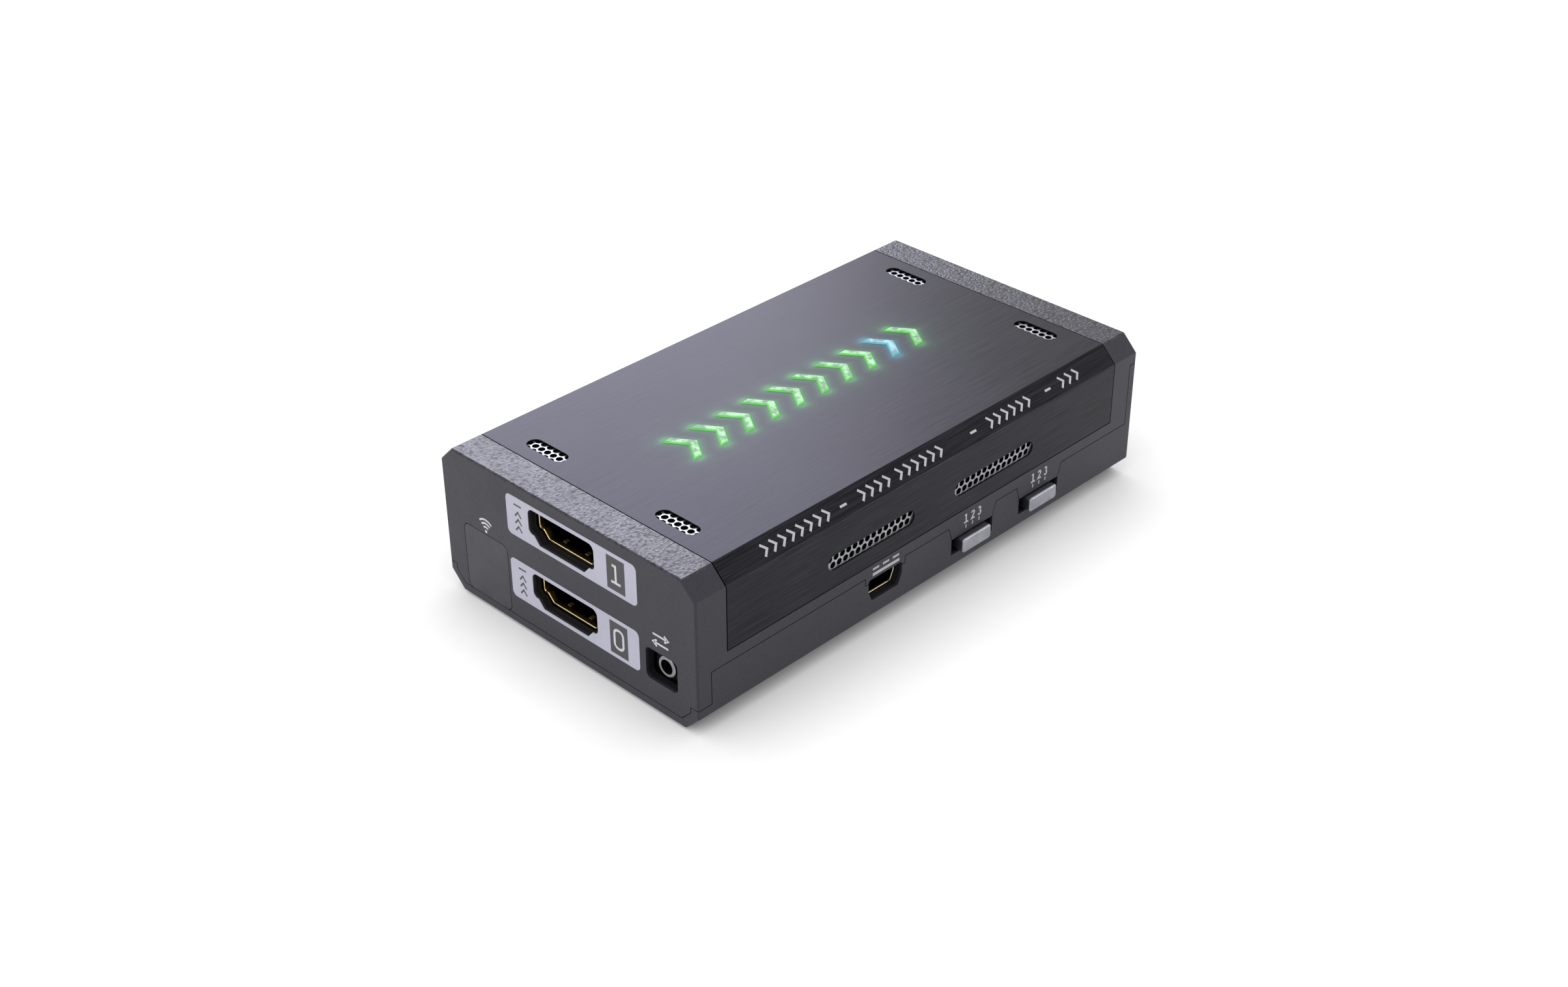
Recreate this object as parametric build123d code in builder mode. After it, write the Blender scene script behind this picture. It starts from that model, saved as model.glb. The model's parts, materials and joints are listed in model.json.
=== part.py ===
from build123d import *
from math import sqrt
import os

os.makedirs("parts", exist_ok=True)

# A small two-in, two-out video matrix switcher, in millimetres.
# The origin is the middle of the surface that it stands on. +X points to the output end,
# -Y to the long side with the power socket and the slide switches, and +Z up.

# Outside of the case
case_length = 108.0
case_width = 60.0
case_height = 27.6
top_bevel = 3.0
bottom_bevel = 3.05
edge_round = 0.4
foot_stand = 0.4

# Walls of the case
side_wall = 2.4
end_wall = 1.7
roof_wall = 2.6
floor_wall = 1.6
bevel_wall = 2.3

# Brushed cover, a sheet folded over the upper housing
cover_sheet = 0.4
end_band = 6.5
cover_low = 13.0
cover_gap = 0.2
cover_fold = 0.8

# Seam between the upper housing and the base tray
seam_width = 0.14
seam_depth = 0.35
seam_side = 10.64
seam_input_side = 4.65
seam_input_length = 3.0
seam_output_drop = 5.1
power_tab_drop = 1.34
power_tab_side = 0.8
switch_tab_flare = 0.8

# Round-ended vents with a perforated plate behind them
vent_width = 2.8
top_vent_length = 8.95
top_vent_end = 4.0
top_vent_edge = 14.7
side_vent_length = 20.4
side_vent_between = 10.0
side_vent_height = 17.55
mesh_sheet = 0.3
mesh_lap = 1.3
mesh_hole = 1.2
mesh_pitch = 1.46
mesh_rise = 1.27
mesh_fit = 0.1

# Video sockets, two above each other at each end
port_width = 15.6
port_height = 6.1
port_shoulder = 1.4
port_step = 1.25
port_corner = 1.2
port_offset = 0.33
port_above_board = 3.65
port_under_roof = 0.35
port_clearance = 0.3
port_sheet = 0.3
port_recess = 1.95
port_depth = 11.5
port_block_depth = 5.0
port_tongue_thick = 1.1
port_tongue_width = 12.4
port_tongue_recess = 2.2
port_tongue_rise = 0.55
port_contact_recess = 0.4
port_contacts = 10
port_contact_pitch = 1.0
port_contact_width = 0.4
port_contact_height = 0.12

# Label plates around the video sockets
label_height = 7.5
label_to_window = 0.695
label_to_jack = 1.35
label_sheet = 0.5
label_proud = 0.05
label_corner = 1.0

# Infrared window in the input end
window_width = 11.15
window_height = 12.9
window_from_wall = 7.88
window_gap = 0.12
window_corner = 1.3
window_flange = 0.8
window_flange_sheet = 0.6
receiver_width = 5.4
receiver_depth = 3.2
receiver_height = 6.2
receiver_lens = 1.9
receiver_behind = 0.9

# Serial jack in the input end
jack_from_wall = 5.55
jack_height = 8.6
jack_well_width = 7.1
jack_well_height = 5.8
jack_well_corner = 1.0
jack_recess = 2.5
jack_ring = 3.9
jack_bore = 2.6
jack_ring_recess = 1.05
jack_ring_flange = 0.6
jack_body_width = 7.9
jack_body_length = 10.4
jack_body_round = 0.4
jack_back = 1.2
jack_ring_round = 0.25

# Power socket in the long side
power_before_switch = 21.84
power_height = 7.92
power_width = 8.05
power_tall = 4.17
power_shoulder = 2.0
power_step = 0.8
power_corner = 0.45
power_clearance = 0.15
power_sheet = 0.3
power_recess = 1.6
power_depth = 8.6
power_tongue_thick = 0.8
power_tongue_width = 4.4
power_contacts = 5
power_contact_pitch = 0.8
power_contact_width = 0.35
power_contact_height = 0.12
power_contact_recess = 1.6
power_tongue_rise = 0.35
power_tongue_recess = 1.2
power_base = 1.4

# Slide switches in the long side, each with three places
switch_to_post = 1.27
shutter_apart = 0.31
switch_slot = 10.65
switch_low = 5.1
switch_tall = 2.96
knob_length = 7.3
knob_fit = 0.1
knob_proud = 1.25
knob_round = 0.32
knob_corner = 0.6
shutter_sheet = 0.6
shutter_lap = 0.2
shutter_gap = 0.12
stem_length = 3.2
stem_tall = 1.2
carriage_length = 5.0
carriage_tall = 2.4
carriage_depth = 1.6
carriage_fit = 0.15
switch_can_length = 12.4
switch_can_depth = 5.2
switch_can_tall = 3.5
switch_can_sheet = 0.3
switch_pins = 4
switch_pin_pitch = 2.5
switch_pin_width = 0.6
switch_pin_thick = 0.3
switch_pin_length = 1.2
switch_base_room = 2.2
switch_travel = 1.6

# Boards
board_sheet = 1.6
board_under = 2.55
board_edge = 1.0
board_input_edge = 1.0
led_board_gap = 0.55
led_board_width = 17.0
led_board_sheet = 1.0
led_board_drop = 3.5

# Glowing row of chevrons in the cover
chevron_count = 10
chevron_lead_count = 8
chevron_half = 3.8
chevron_depth = 2.6
chevron_stroke = 1.46
chevron_fit = 0.08
chevron_proud = 0.25
chevron_bevel = 0.2
guide_margin = 1.0
guide_to_post = 0.65
guide_flange = 1.2
guide_flange_sheet = 1.0
guide_fit = 0.15
accent_rail = 0.5
led_size = 2.8
led_tall = 0.9

# Screws, posts and feet
post_to_jack = 0.35
post_to_edge = 3.2
post_radius = 2.75
screw_radius = 1.25
screw_length = 12.0
screw_head = 2.3
screw_head_tall = 1.4
screw_sink = 0.3
screw_fit = 0.15
thread_fit = 0.02
screw_cross = 0.55
screw_cross_length = 3.0
screw_cross_deep = 0.8
led_post_radius = 1.6
led_post_edge = 2.9
led_screw_radius = 0.6
led_screw_length = 2.6
led_screw_head = 1.15
led_screw_head_tall = 0.7
led_screw_room = 0.2
foot_radius = 4.0
foot_thick = 0.8
foot_from_end = 7.0
foot_from_side = 10.5
foot_fit = 0.1
foot_round = 0.25

# Header between the boards
header_x = -21.0
header_count = 5
header_pitch = 2.54
header_tall = 2.5
header_pin = 0.64
header_fit = 0.08
header_socket_tall = 8.5
header_reach = 5.0

# Parts on the main board
chip_x = 4.0
chip_y = 3.0
chip_size = 17.0
chip_tall = 1.3
pad_thick = 0.5
sink_size = 24.0
sink_base = 1.6
sink_fins = 9
sink_fin = 0.9
sink_fin_tall = 6.0
processor_x = 25.5
processor_y = 12.0
processor_side = 10.0
processor_tall = 1.2
lead_pitch = 0.8
lead_width = 0.35
lead_out = 1.0
lead_tall = 0.2
chip_bevel = 0.2
pad_margin = 0.5
lead_foot = 0.6
memory_length = 5.0
memory_width = 4.0
memory_tall = 1.5
memory_places = [(25.5, 0.0), (-19.5, 12.0)]
crystal_length = 11.0
crystal_width = 4.6
crystal_tall = 3.4
crystal_round = 0.5
crystal_x = 10.0
crystal_y = 20.5
inductor_size = 5.2
inductor_tall = 2.8
inductor_corner = 1.0
inductor_places = [(-17.0, -12.0), (-9.0, -12.0)]
capacitor_radius = 2.0
capacitor_tall = 5.4
capacitor_round = 0.3
capacitor_places = [(-24.5, -13.5), (-24.5, -19.0), (-1.5, -14.5), (25.0, -10.0)]
small_part_length = 1.7
small_part_width = 0.9
small_part_tall = 0.8
small_part_pitch = 2.4
small_part_columns_count = 4
small_part_rows_count = 3
small_part_middles = [(-29.0, 16.5), (-8.0, 18.5), (12.0, -14.0)]

# Heights counted from the surface that the case stands on
case_bottom = foot_stand
case_top = case_bottom + case_height
cover_under = case_top - cover_sheet
roof_under = case_top - roof_wall
floor_top = case_bottom + floor_wall
board_under_z = floor_top + board_under
board_top = board_under_z + board_sheet
led_board_top = roof_under - led_board_drop
led_board_low = led_board_top - led_board_sheet
port_heights = {
    "0": board_top + port_above_board,
    "1": roof_under - port_under_roof - port_height / 2,
}

# Places in plan
half_length = case_length / 2
half_width = case_width / 2
inner_length = half_length - end_wall
inner_width = half_width - side_wall
cover_length = case_length - 2 * end_band
board_half_length = inner_length - board_input_edge
board_half_width = inner_width - board_edge
window_offset = inner_width - window_from_wall
jack_offset = jack_from_wall - inner_width
label_left = window_offset - window_width / 2 - label_to_window
label_right = jack_offset + jack_well_width / 2 + label_to_jack
label_length = label_left - label_right
label_offset = (label_left + label_right) / 2
block_end = half_length - port_recess - port_depth - port_block_depth
post_x = half_length - jack_recess - jack_body_length - post_to_jack - post_radius
post_y = board_half_width - post_to_edge
switch_2_x = post_x - post_radius - switch_to_post - switch_can_length / 2
shutter_length = switch_slot + 2 * (switch_travel + shutter_lap)
switch_1_x = switch_2_x - shutter_length - 2 * switch_travel - shutter_apart
switch_places = {"switch_1": switch_1_x, "switch_2": switch_2_x}
power_x = switch_1_x - power_before_switch
led_board_half = block_end - led_board_gap
led_post_x = led_board_half - led_post_radius
led_post_y = led_board_width / 2 - led_post_edge
post_places = [(x, y) for x in (-post_x, post_x) for y in (-post_y, post_y)]
led_post_places = [(x, y) for x in (-led_post_x, led_post_x) for y in (-led_post_y, led_post_y)]
foot_x = half_length - foot_from_end
foot_y = half_width - foot_from_side
foot_places = [(x, y) for x in (-foot_x, foot_x) for y in (-foot_y, foot_y)]
top_vent_x = cover_length / 2 - top_vent_end
top_vent_y = half_width - top_vent_edge
side_vent_x = (side_vent_between + side_vent_length) / 2

# Planes: the input end seen from outside, with up as up, and the near long side
def input_plane(inwards, across=0.0, height=0.0):
    origin = (-half_length + inwards, across, height)
    return Plane(origin=origin, x_dir=(0, -1, 0), z_dir=(-1, 0, 0))


def near_plane(inwards, along=0.0, height=0.0):
    origin = (along, -half_width + inwards, height)
    return Plane(origin=origin, x_dir=(1, 0, 0), z_dir=(0, -1, 0))


def far_plane(inwards, along=0.0, height=0.0):
    origin = (along, half_width - inwards, height)
    return Plane(origin=origin, x_dir=(-1, 0, 0), z_dir=(0, 1, 0))


def level_plane(height, along=0.0, across=0.0):
    return Plane(origin=(along, across, height))


written = []


def save(piece, name):
    """Name a finished piece and write it to its file."""
    piece.part.label = name
    export_step(piece.part, f"parts/{name}.step")
    written.append(name)


def save_turned(piece, name):
    """The same piece at the other end of the case, turned half round."""
    with BuildPart() as turned:
        add(piece.part, rotation=(0, 0, 180))
    save(turned, name)


# Case: the outside block, the cavity and the zone that belongs to the base tray
def case_section(side, roof, floor, bevel):
    """Corners of the eight-sided section, with each face drawn in by a wall of its own."""
    half = half_width - side
    top = case_top - roof
    low = case_bottom + floor
    upper_line = half_width + case_top - top_bevel - bevel * sqrt(2)
    lower_line = half_width - case_bottom - bottom_bevel - bevel * sqrt(2)
    right = [
        (lower_line + low, low),
        (half, half - lower_line),
        (half, upper_line - half),
        (upper_line - top, top),
    ]
    left = [(-y, z) for y, z in reversed(right)]
    return right + left


def case_prism(corners, start, end):
    """The section run along the case from start to end."""
    with BuildPart() as prism:
        with BuildSketch(Plane.YZ.offset(start)):
            Polygon(*corners)
        extrude(amount=end - start)
    return prism.part


outside = case_section(0, 0, 0, 0)
cavity_section = case_section(side_wall, roof_wall, floor_wall, bevel_wall)
cover_core_section = case_section(cover_sheet, cover_sheet, cover_sheet, cover_sheet)
seam_core_section = case_section(seam_depth, seam_depth, seam_depth, seam_depth)

with BuildPart() as case_block:
    add(case_prism(outside, -half_length, half_length))
    fillet(case_block.edges(), radius=edge_round)

cavity = case_prism(cavity_section, -inner_length, inner_length)

with BuildPart() as case_shell:
    add(case_block.part)
    add(cavity, mode=Mode.SUBTRACT)

reach = 2.0


def seam_outline(tabs):
    """Side view of the tray's zone: its top line runs along the seam from the input end."""
    line = [
        (-half_length - reach, case_bottom - reach),
        (-half_length - reach, case_bottom + seam_input_side),
        (-half_length + seam_input_length, case_bottom + seam_input_side),
        (-half_length + seam_input_length, case_bottom + seam_side),
    ]
    for left, right, drop_left, drop_right, low in tabs:
        line.append((left, case_bottom + seam_side))
        line.append((drop_left, low))
        line.append((drop_right, low))
        line.append((right, case_bottom + seam_side))
    line.append((inner_length, case_bottom + seam_side))
    line.append((inner_length, case_top - seam_output_drop))
    line.append((half_length + reach, case_top - seam_output_drop))
    line.append((half_length + reach, case_bottom - reach))
    return line


def near_tabs():
    """The upper housing's tabs over the power socket and the switch slots."""
    power_half = power_width / 2 + power_tab_side
    low = case_bottom + seam_side - power_tab_drop
    tabs = [(power_x - power_half, power_x + power_half, power_x - power_half, power_x + power_half, low)]
    for place in switch_places.values():
        left = place - switch_slot / 2
        right = place + switch_slot / 2
        low = case_bottom + switch_low + switch_tall
        tabs.append((left - switch_tab_flare, right + switch_tab_flare, left, right, low))
    return tabs


def tray_zone(grow):
    """What belongs to the base tray, grown by the width of the seam where asked."""
    rim = floor_wall + grow
    with BuildPart() as zone:
        with BuildSketch(Plane.XZ):
            Polygon(*seam_outline(near_tabs()))
            if grow:
                offset(amount=grow, kind=Kind.INTERSECTION)
        extrude(amount=half_width + reach)
        with BuildSketch(Plane.XZ):
            Polygon(*seam_outline([]))
            if grow:
                offset(amount=grow, kind=Kind.INTERSECTION)
        extrude(amount=-half_width - reach)
        end_piece = case_prism(case_section(rim, roof_wall, rim, rim), -half_length - 2 * reach, -inner_length)
        add(end_piece, mode=Mode.SUBTRACT)
    return zone.part


tray_region = tray_zone(0)

with BuildPart() as seam_groove:
    add(tray_zone(seam_width))
    add(
        case_prism(seam_core_section, -half_length + seam_depth, half_length - seam_depth),
        mode=Mode.SUBTRACT,
    )


# Outlines shared by an opening and what stands in it
def port_outline(inset):
    """A video socket's outline about its middle, drawn in by inset."""
    half = port_width / 2
    low = -port_height / 2
    with BuildSketch(Plane.XY) as outline:
        Polygon(
            (-half, port_height / 2),
            (-half, low + port_shoulder),
            (-half + port_step, low + port_shoulder),
            (-half + 2 * port_step, low),
            (half - 2 * port_step, low),
            (half - port_step, low + port_shoulder),
            (half, low + port_shoulder),
            (half, port_height / 2),
        )
        corners = outline.vertices().sort_by(Axis.Y)
        fillet(corners[-2:], radius=port_corner)
        outer = outline.vertices().group_by(Axis.X)
        fillet(outer[0].sort_by(Axis.Y)[:1] + outer[-1].sort_by(Axis.Y)[:1], radius=port_corner * 0.8)
        if inset:
            offset(amount=-inset)
    return outline.sketch


def power_outline(inset):
    """The power socket's outline about its middle, drawn in by inset."""
    half = power_width / 2
    low = -power_tall / 2
    with BuildSketch(Plane.XY) as outline:
        Polygon(
            (-half, power_tall / 2),
            (-half, low + power_shoulder),
            (-half + power_step, low),
            (half - power_step, low),
            (half, low + power_shoulder),
            (half, power_tall / 2),
        )
        fillet(outline.vertices(), radius=power_corner)
        if inset:
            offset(amount=-inset)
    return outline.sketch


def chevron(centre, grow):
    """One chevron of the glowing row, pointing to the output end."""
    left = -chevron_length / 2
    stroke = chevron_length - chevron_depth
    with BuildSketch(Plane.XY) as shape:
        with Locations((centre, 0)):
            Polygon(
                (left, chevron_half),
                (left + stroke, chevron_half),
                (left + stroke + chevron_depth, 0),
                (left + stroke, -chevron_half),
                (left, -chevron_half),
                (left + chevron_depth, 0),
            )
        if grow:
            offset(amount=grow, kind=Kind.INTERSECTION)
    return shape.sketch


guide_length = 2 * (led_post_x - led_post_radius - guide_to_post - guide_flange)
guide_width = 2 * (chevron_half + guide_margin)
chevron_arm = sqrt(chevron_depth**2 + chevron_half**2)
chevron_length = chevron_depth + chevron_stroke * chevron_arm / chevron_half
chevron_pitch = (guide_length - 2 * guide_margin - chevron_length) / (chevron_count - 1)
first_chevron = -chevron_pitch * (chevron_count - 1) / 2
chevron_places = [first_chevron + chevron_pitch * i for i in range(chevron_count)]
accent_place = chevron_places[chevron_lead_count]

# Vents: the plane of each plate's outer face, which lies against the cover, and its rows of holes
top_rows = (-1, 0, 1)
side_rows = (-1.5, -0.5, 0.5, 1.5)
top_vent_places = [(x, y) for x in (-top_vent_x, top_vent_x) for y in (-top_vent_y, top_vent_y)]
vents = []
for number, (x, y) in enumerate(top_vent_places, start=1):
    plane = Plane(origin=(x, y, cover_under), x_dir=(0, 1, 0), z_dir=(0, 0, 1))
    vents.append((f"top_vent_mesh_{number}", plane, top_vent_length, top_rows))
side_height = case_bottom + side_vent_height
for number, x in enumerate((-side_vent_x, side_vent_x), start=1):
    near_vent = near_plane(cover_sheet, x, side_height)
    far_vent = far_plane(cover_sheet, x, side_height)
    vents.append((f"near_vent_mesh_{number}", near_vent, side_vent_length, side_rows))
    vents.append((f"far_vent_mesh_{number}", far_vent, side_vent_length, side_rows))

through = 6.0

# What each end wall loses: the openings of its video sockets and the beds of their labels
with BuildPart() as end_cuts:
    for height in port_heights.values():
        with BuildSketch(input_plane(-reach, port_offset, height)):
            add(port_outline(0))
        extrude(amount=-(end_wall + 2 * reach))
        with BuildSketch(input_plane(label_sheet, label_offset, height)):
            RectangleRounded(label_length, label_height, label_corner)
        extrude(amount=label_sheet + reach)
with BuildPart() as output_cuts:
    add(end_cuts.part, rotation=(0, 0, 180))


# Base tray: floor, lower side walls, the whole output end wall, and bosses under the board
with BuildPart() as base_tray:
    add(case_shell.part)
    add(tray_region, mode=Mode.INTERSECT)
    with BuildSketch(level_plane(floor_top)):
        with Locations(*post_places):
            Circle(post_radius)
    extrude(amount=board_under)
    with BuildSketch(level_plane(case_bottom)):
        with Locations(*post_places):
            Circle(screw_radius + screw_fit)
    extrude(amount=floor_wall + board_under, mode=Mode.SUBTRACT)
    with BuildSketch(level_plane(case_bottom)):
        with Locations(*post_places):
            Circle(screw_head + screw_fit)
    extrude(amount=screw_sink + screw_head_tall, mode=Mode.SUBTRACT)
    with BuildSketch(level_plane(case_bottom)):
        with Locations(*foot_places):
            Circle(foot_radius)
    extrude(amount=foot_thick - foot_stand, mode=Mode.SUBTRACT)
    add(output_cuts.part, mode=Mode.SUBTRACT)
    with BuildSketch(near_plane(-reach, power_x, case_bottom + power_height)):
        add(power_outline(0))
    extrude(amount=-(side_wall + 2 * reach), mode=Mode.SUBTRACT)
    for place in switch_places.values():
        with BuildSketch(near_plane(-reach, place, case_bottom + switch_low + switch_tall / 2)):
            Rectangle(switch_slot, switch_tall)
        extrude(amount=-(side_wall + 2 * reach), mode=Mode.SUBTRACT)
save(base_tray, "base_tray")

# Upper housing: roof, upper side walls, the whole input end wall, and posts down to the board
recess_length = cover_length + 2 * cover_gap
with BuildPart() as upper_housing:
    add(case_shell.part)
    with BuildSketch(level_plane(board_top)):
        with Locations(*post_places):
            Circle(post_radius)
    extrude(amount=roof_under - board_top)
    with BuildSketch(level_plane(led_board_top)):
        with Locations(*led_post_places):
            Circle(led_post_radius)
    extrude(amount=roof_under - led_board_top)
    add(tray_region, mode=Mode.SUBTRACT)
    add(seam_groove.part, mode=Mode.SUBTRACT)
    with BuildSketch(level_plane(case_bottom + cover_low - cover_gap)):
        Rectangle(recess_length, case_width + 2 * reach)
    cover_zone = extrude(amount=case_height, mode=Mode.PRIVATE)
    cover_core = case_prism(cover_core_section, -half_length, half_length)
    add(cover_zone - cover_core, mode=Mode.SUBTRACT)
    with BuildSketch(level_plane(board_top)):
        with Locations(*post_places):
            Circle(screw_radius + thread_fit)
    extrude(amount=screw_length, mode=Mode.SUBTRACT)
    with BuildSketch(level_plane(led_board_top)):
        with Locations(*led_post_places):
            Circle(led_screw_radius + thread_fit)
    extrude(amount=led_screw_length, mode=Mode.SUBTRACT)
    with BuildSketch(level_plane(roof_under)):
        Rectangle(guide_length + 2 * guide_fit, guide_width + 2 * guide_fit)
    extrude(amount=roof_wall, mode=Mode.SUBTRACT)
    for name, plane, length, rows in vents:
        with BuildSketch(plane):
            SlotOverall(length + 2 * (mesh_lap + mesh_fit), vent_width + 2 * (mesh_lap + mesh_fit))
        extrude(amount=-mesh_sheet, mode=Mode.SUBTRACT)
        with BuildSketch(plane):
            SlotOverall(length, vent_width)
        extrude(amount=-through, mode=Mode.SUBTRACT)
    add(end_cuts.part, mode=Mode.SUBTRACT)
    add(output_cuts.part, mode=Mode.SUBTRACT)
    window_low = case_bottom + floor_wall
    with BuildSketch(input_plane(-reach, window_offset, window_low + window_height / 2)):
        RectangleRounded(window_width, window_height, window_corner)
    extrude(amount=-(end_wall + reach), mode=Mode.SUBTRACT)
    with BuildSketch(input_plane(-reach, jack_offset, case_bottom + jack_height)):
        RectangleRounded(jack_well_width, jack_well_height, jack_well_corner)
    extrude(amount=-(end_wall + reach), mode=Mode.SUBTRACT)
    with BuildSketch(near_plane(-reach, power_x, case_bottom + power_height)):
        add(power_outline(0))
    extrude(amount=-(side_wall + 2 * reach), mode=Mode.SUBTRACT)
save(upper_housing, "upper_housing")

# Brushed cover
with BuildPart() as cover_outside:
    add(case_prism(outside, -cover_length / 2, cover_length / 2))
    folds = cover_outside.edges().filter_by(Axis.X).group_by(Axis.Z)
    fillet(folds[-1], radius=edge_round)
    folds = cover_outside.edges().filter_by(Axis.X).group_by(Axis.Z)
    fillet(folds[-3], radius=cover_fold)

with BuildPart() as top_cover:
    add(cover_outside.part)
    add(case_prism(cover_core_section, -half_length, half_length), mode=Mode.SUBTRACT)
    with BuildSketch(level_plane(case_bottom + cover_low)):
        Rectangle(case_length, case_width + 2 * reach)
    extrude(amount=case_height, mode=Mode.INTERSECT)
    for name, plane, length, rows in vents:
        with BuildSketch(plane):
            SlotOverall(length, vent_width)
        extrude(amount=reach, mode=Mode.SUBTRACT)
    for place in chevron_places:
        with BuildSketch(level_plane(cover_under)):
            add(chevron(place, chevron_fit))
        extrude(amount=reach, mode=Mode.SUBTRACT)
save(top_cover, "top_cover")

# Perforated plates behind the vents
for name, plane, length, rows in vents:
    steps = int(length / mesh_pitch)
    with BuildPart() as mesh:
        with BuildSketch(plane):
            SlotOverall(length + 2 * mesh_lap, vent_width + 2 * mesh_lap)
            for index, row in enumerate(rows):
                holes = steps + (steps + index) % 2
                with Locations((0, row * mesh_rise)):
                    with GridLocations(mesh_pitch, 1, holes, 1):
                        Circle(mesh_hole / 2, mode=Mode.SUBTRACT)
        extrude(amount=-mesh_sheet)
    save(mesh, name)

# Label plates around the video sockets
for number, height in port_heights.items():
    with BuildPart() as label:
        with BuildSketch(input_plane(label_sheet, label_offset, height)):
            RectangleRounded(label_length, label_height, label_corner)
        extrude(amount=label_sheet + label_proud)
        with BuildSketch(input_plane(label_sheet, port_offset, height)):
            add(port_outline(0))
        extrude(amount=2 * label_sheet, mode=Mode.SUBTRACT)
    save(label, f"input_label_{number}")
    save_turned(label, f"output_label_{number}")

# Video sockets: a bright shell for each port, a shared black block with its tongues, and the contacts
for number, height in port_heights.items():
    with BuildPart() as shell:
        with BuildSketch(input_plane(port_recess, port_offset, height)):
            add(port_outline(port_clearance))
            add(port_outline(port_clearance + port_sheet), mode=Mode.SUBTRACT)
        extrude(amount=-port_depth)
    save(shell, f"input_shell_{number}")
    save_turned(shell, f"output_shell_{number}")

block_low = board_top
block_high = port_heights["1"] + port_height / 2
tongue_front = port_recess + port_tongue_recess
with BuildPart() as port_block:
    with BuildSketch(input_plane(port_recess + port_depth, port_offset, (block_low + block_high) / 2)):
        Rectangle(port_width, block_high - block_low)
    extrude(amount=-port_block_depth)
    for height in port_heights.values():
        with BuildSketch(input_plane(tongue_front, port_offset, height + port_tongue_rise)):
            Rectangle(port_tongue_width, port_tongue_thick)
        extrude(amount=-(port_depth - port_tongue_recess))
    saddle_low = port_heights["0"] + port_height / 2 - port_clearance
    saddle_high = port_heights["1"] - port_height / 2 + port_clearance
    with BuildSketch(input_plane(port_recess + port_depth, port_offset, (saddle_low + saddle_high) / 2)):
        Rectangle(port_width - 2 * port_corner, saddle_high - saddle_low)
    extrude(amount=port_depth)
save(port_block, "input_socket_block")
save_turned(port_block, "output_socket_block")

contact_front = tongue_front + port_contact_recess
contact_run = port_depth - port_tongue_recess - port_contact_recess
with BuildPart() as contacts:
    for height in port_heights.values():
        middle = height + port_tongue_rise
        rise = (port_tongue_thick + port_contact_height) / 2
        with BuildSketch(input_plane(contact_front, port_offset, middle + rise)):
            with GridLocations(port_contact_pitch, 1, port_contacts, 1):
                Rectangle(port_contact_width, port_contact_height)
        extrude(amount=-contact_run)
        with BuildSketch(input_plane(contact_front, port_offset, middle - rise)):
            with GridLocations(port_contact_pitch, 1, port_contacts - 1, 1):
                Rectangle(port_contact_width, port_contact_height)
        extrude(amount=-contact_run)
save(contacts, "input_contacts")
save_turned(contacts, "output_contacts")

# Infrared window, held by its flange behind the end wall, and the receiver on the board
window_middle = window_low + window_height / 2
with BuildPart() as ir_window:
    with BuildSketch(input_plane(0, window_offset, window_middle)):
        RectangleRounded(
            window_width - 2 * window_gap, window_height - 2 * window_gap, window_corner - window_gap
        )
    extrude(amount=-end_wall)
    with BuildSketch(input_plane(end_wall, window_offset, window_middle + window_flange / 2)) as flange:
        Rectangle(window_width + 2 * window_flange, window_height + window_flange)
        chamfer(flange.vertices().group_by(Axis.Z)[0], length=2 * window_flange)
    extrude(amount=-window_flange_sheet)
save(ir_window, "ir_window")

receiver_front = end_wall + window_flange_sheet + receiver_behind + receiver_lens
receiver_middle = board_top + receiver_height / 2
with BuildPart() as ir_receiver:
    with BuildSketch(input_plane(receiver_front, window_offset, receiver_middle)):
        Rectangle(receiver_width, receiver_height)
    extrude(amount=-receiver_depth)
    lens_centre = (-half_length + receiver_front, window_offset, receiver_middle)
    with Locations(lens_centre):
        Sphere(receiver_lens)
save(ir_receiver, "ir_receiver")

# Serial jack: the black body on the board, and the plated ring that stands out of it
jack_z = case_bottom + jack_height
jack_body_tall = 2 * (jack_z - board_top)
with BuildPart() as jack_body:
    with BuildSketch(input_plane(jack_recess, jack_offset, jack_z)):
        Rectangle(jack_body_width, jack_body_tall)
    extrude(amount=-jack_body_length)
    fillet(jack_body.edges().filter_by(Axis.X), radius=jack_body_round)
    with BuildSketch(input_plane(jack_recess, jack_offset, jack_z)):
        Circle(jack_ring / 2)
    extrude(amount=-jack_ring_flange, mode=Mode.SUBTRACT)
    with BuildSketch(input_plane(jack_recess, jack_offset, jack_z)):
        Circle(jack_bore / 2)
    extrude(amount=-(jack_body_length - jack_back), mode=Mode.SUBTRACT)
save(jack_body, "jack_body")

with BuildPart() as jack_sleeve:
    with BuildSketch(input_plane(jack_ring_recess, jack_offset, jack_z)):
        Circle(jack_ring / 2)
        Circle(jack_bore / 2, mode=Mode.SUBTRACT)
    extrude(amount=-(jack_recess + jack_ring_flange - jack_ring_recess))
    rim = jack_sleeve.edges().filter_by(GeomType.CIRCLE).group_by(Axis.X)[0]
    fillet(rim.sort_by(SortBy.RADIUS)[-1:], radius=jack_ring_round)
save(jack_sleeve, "jack_sleeve")

# Power socket
power_z = case_bottom + power_height
with BuildPart() as power_shell:
    with BuildSketch(near_plane(power_recess, power_x, power_z)):
        add(power_outline(power_clearance))
        add(power_outline(power_clearance + power_sheet), mode=Mode.SUBTRACT)
    extrude(amount=-power_depth)
save(power_shell, "power_shell")

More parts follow.
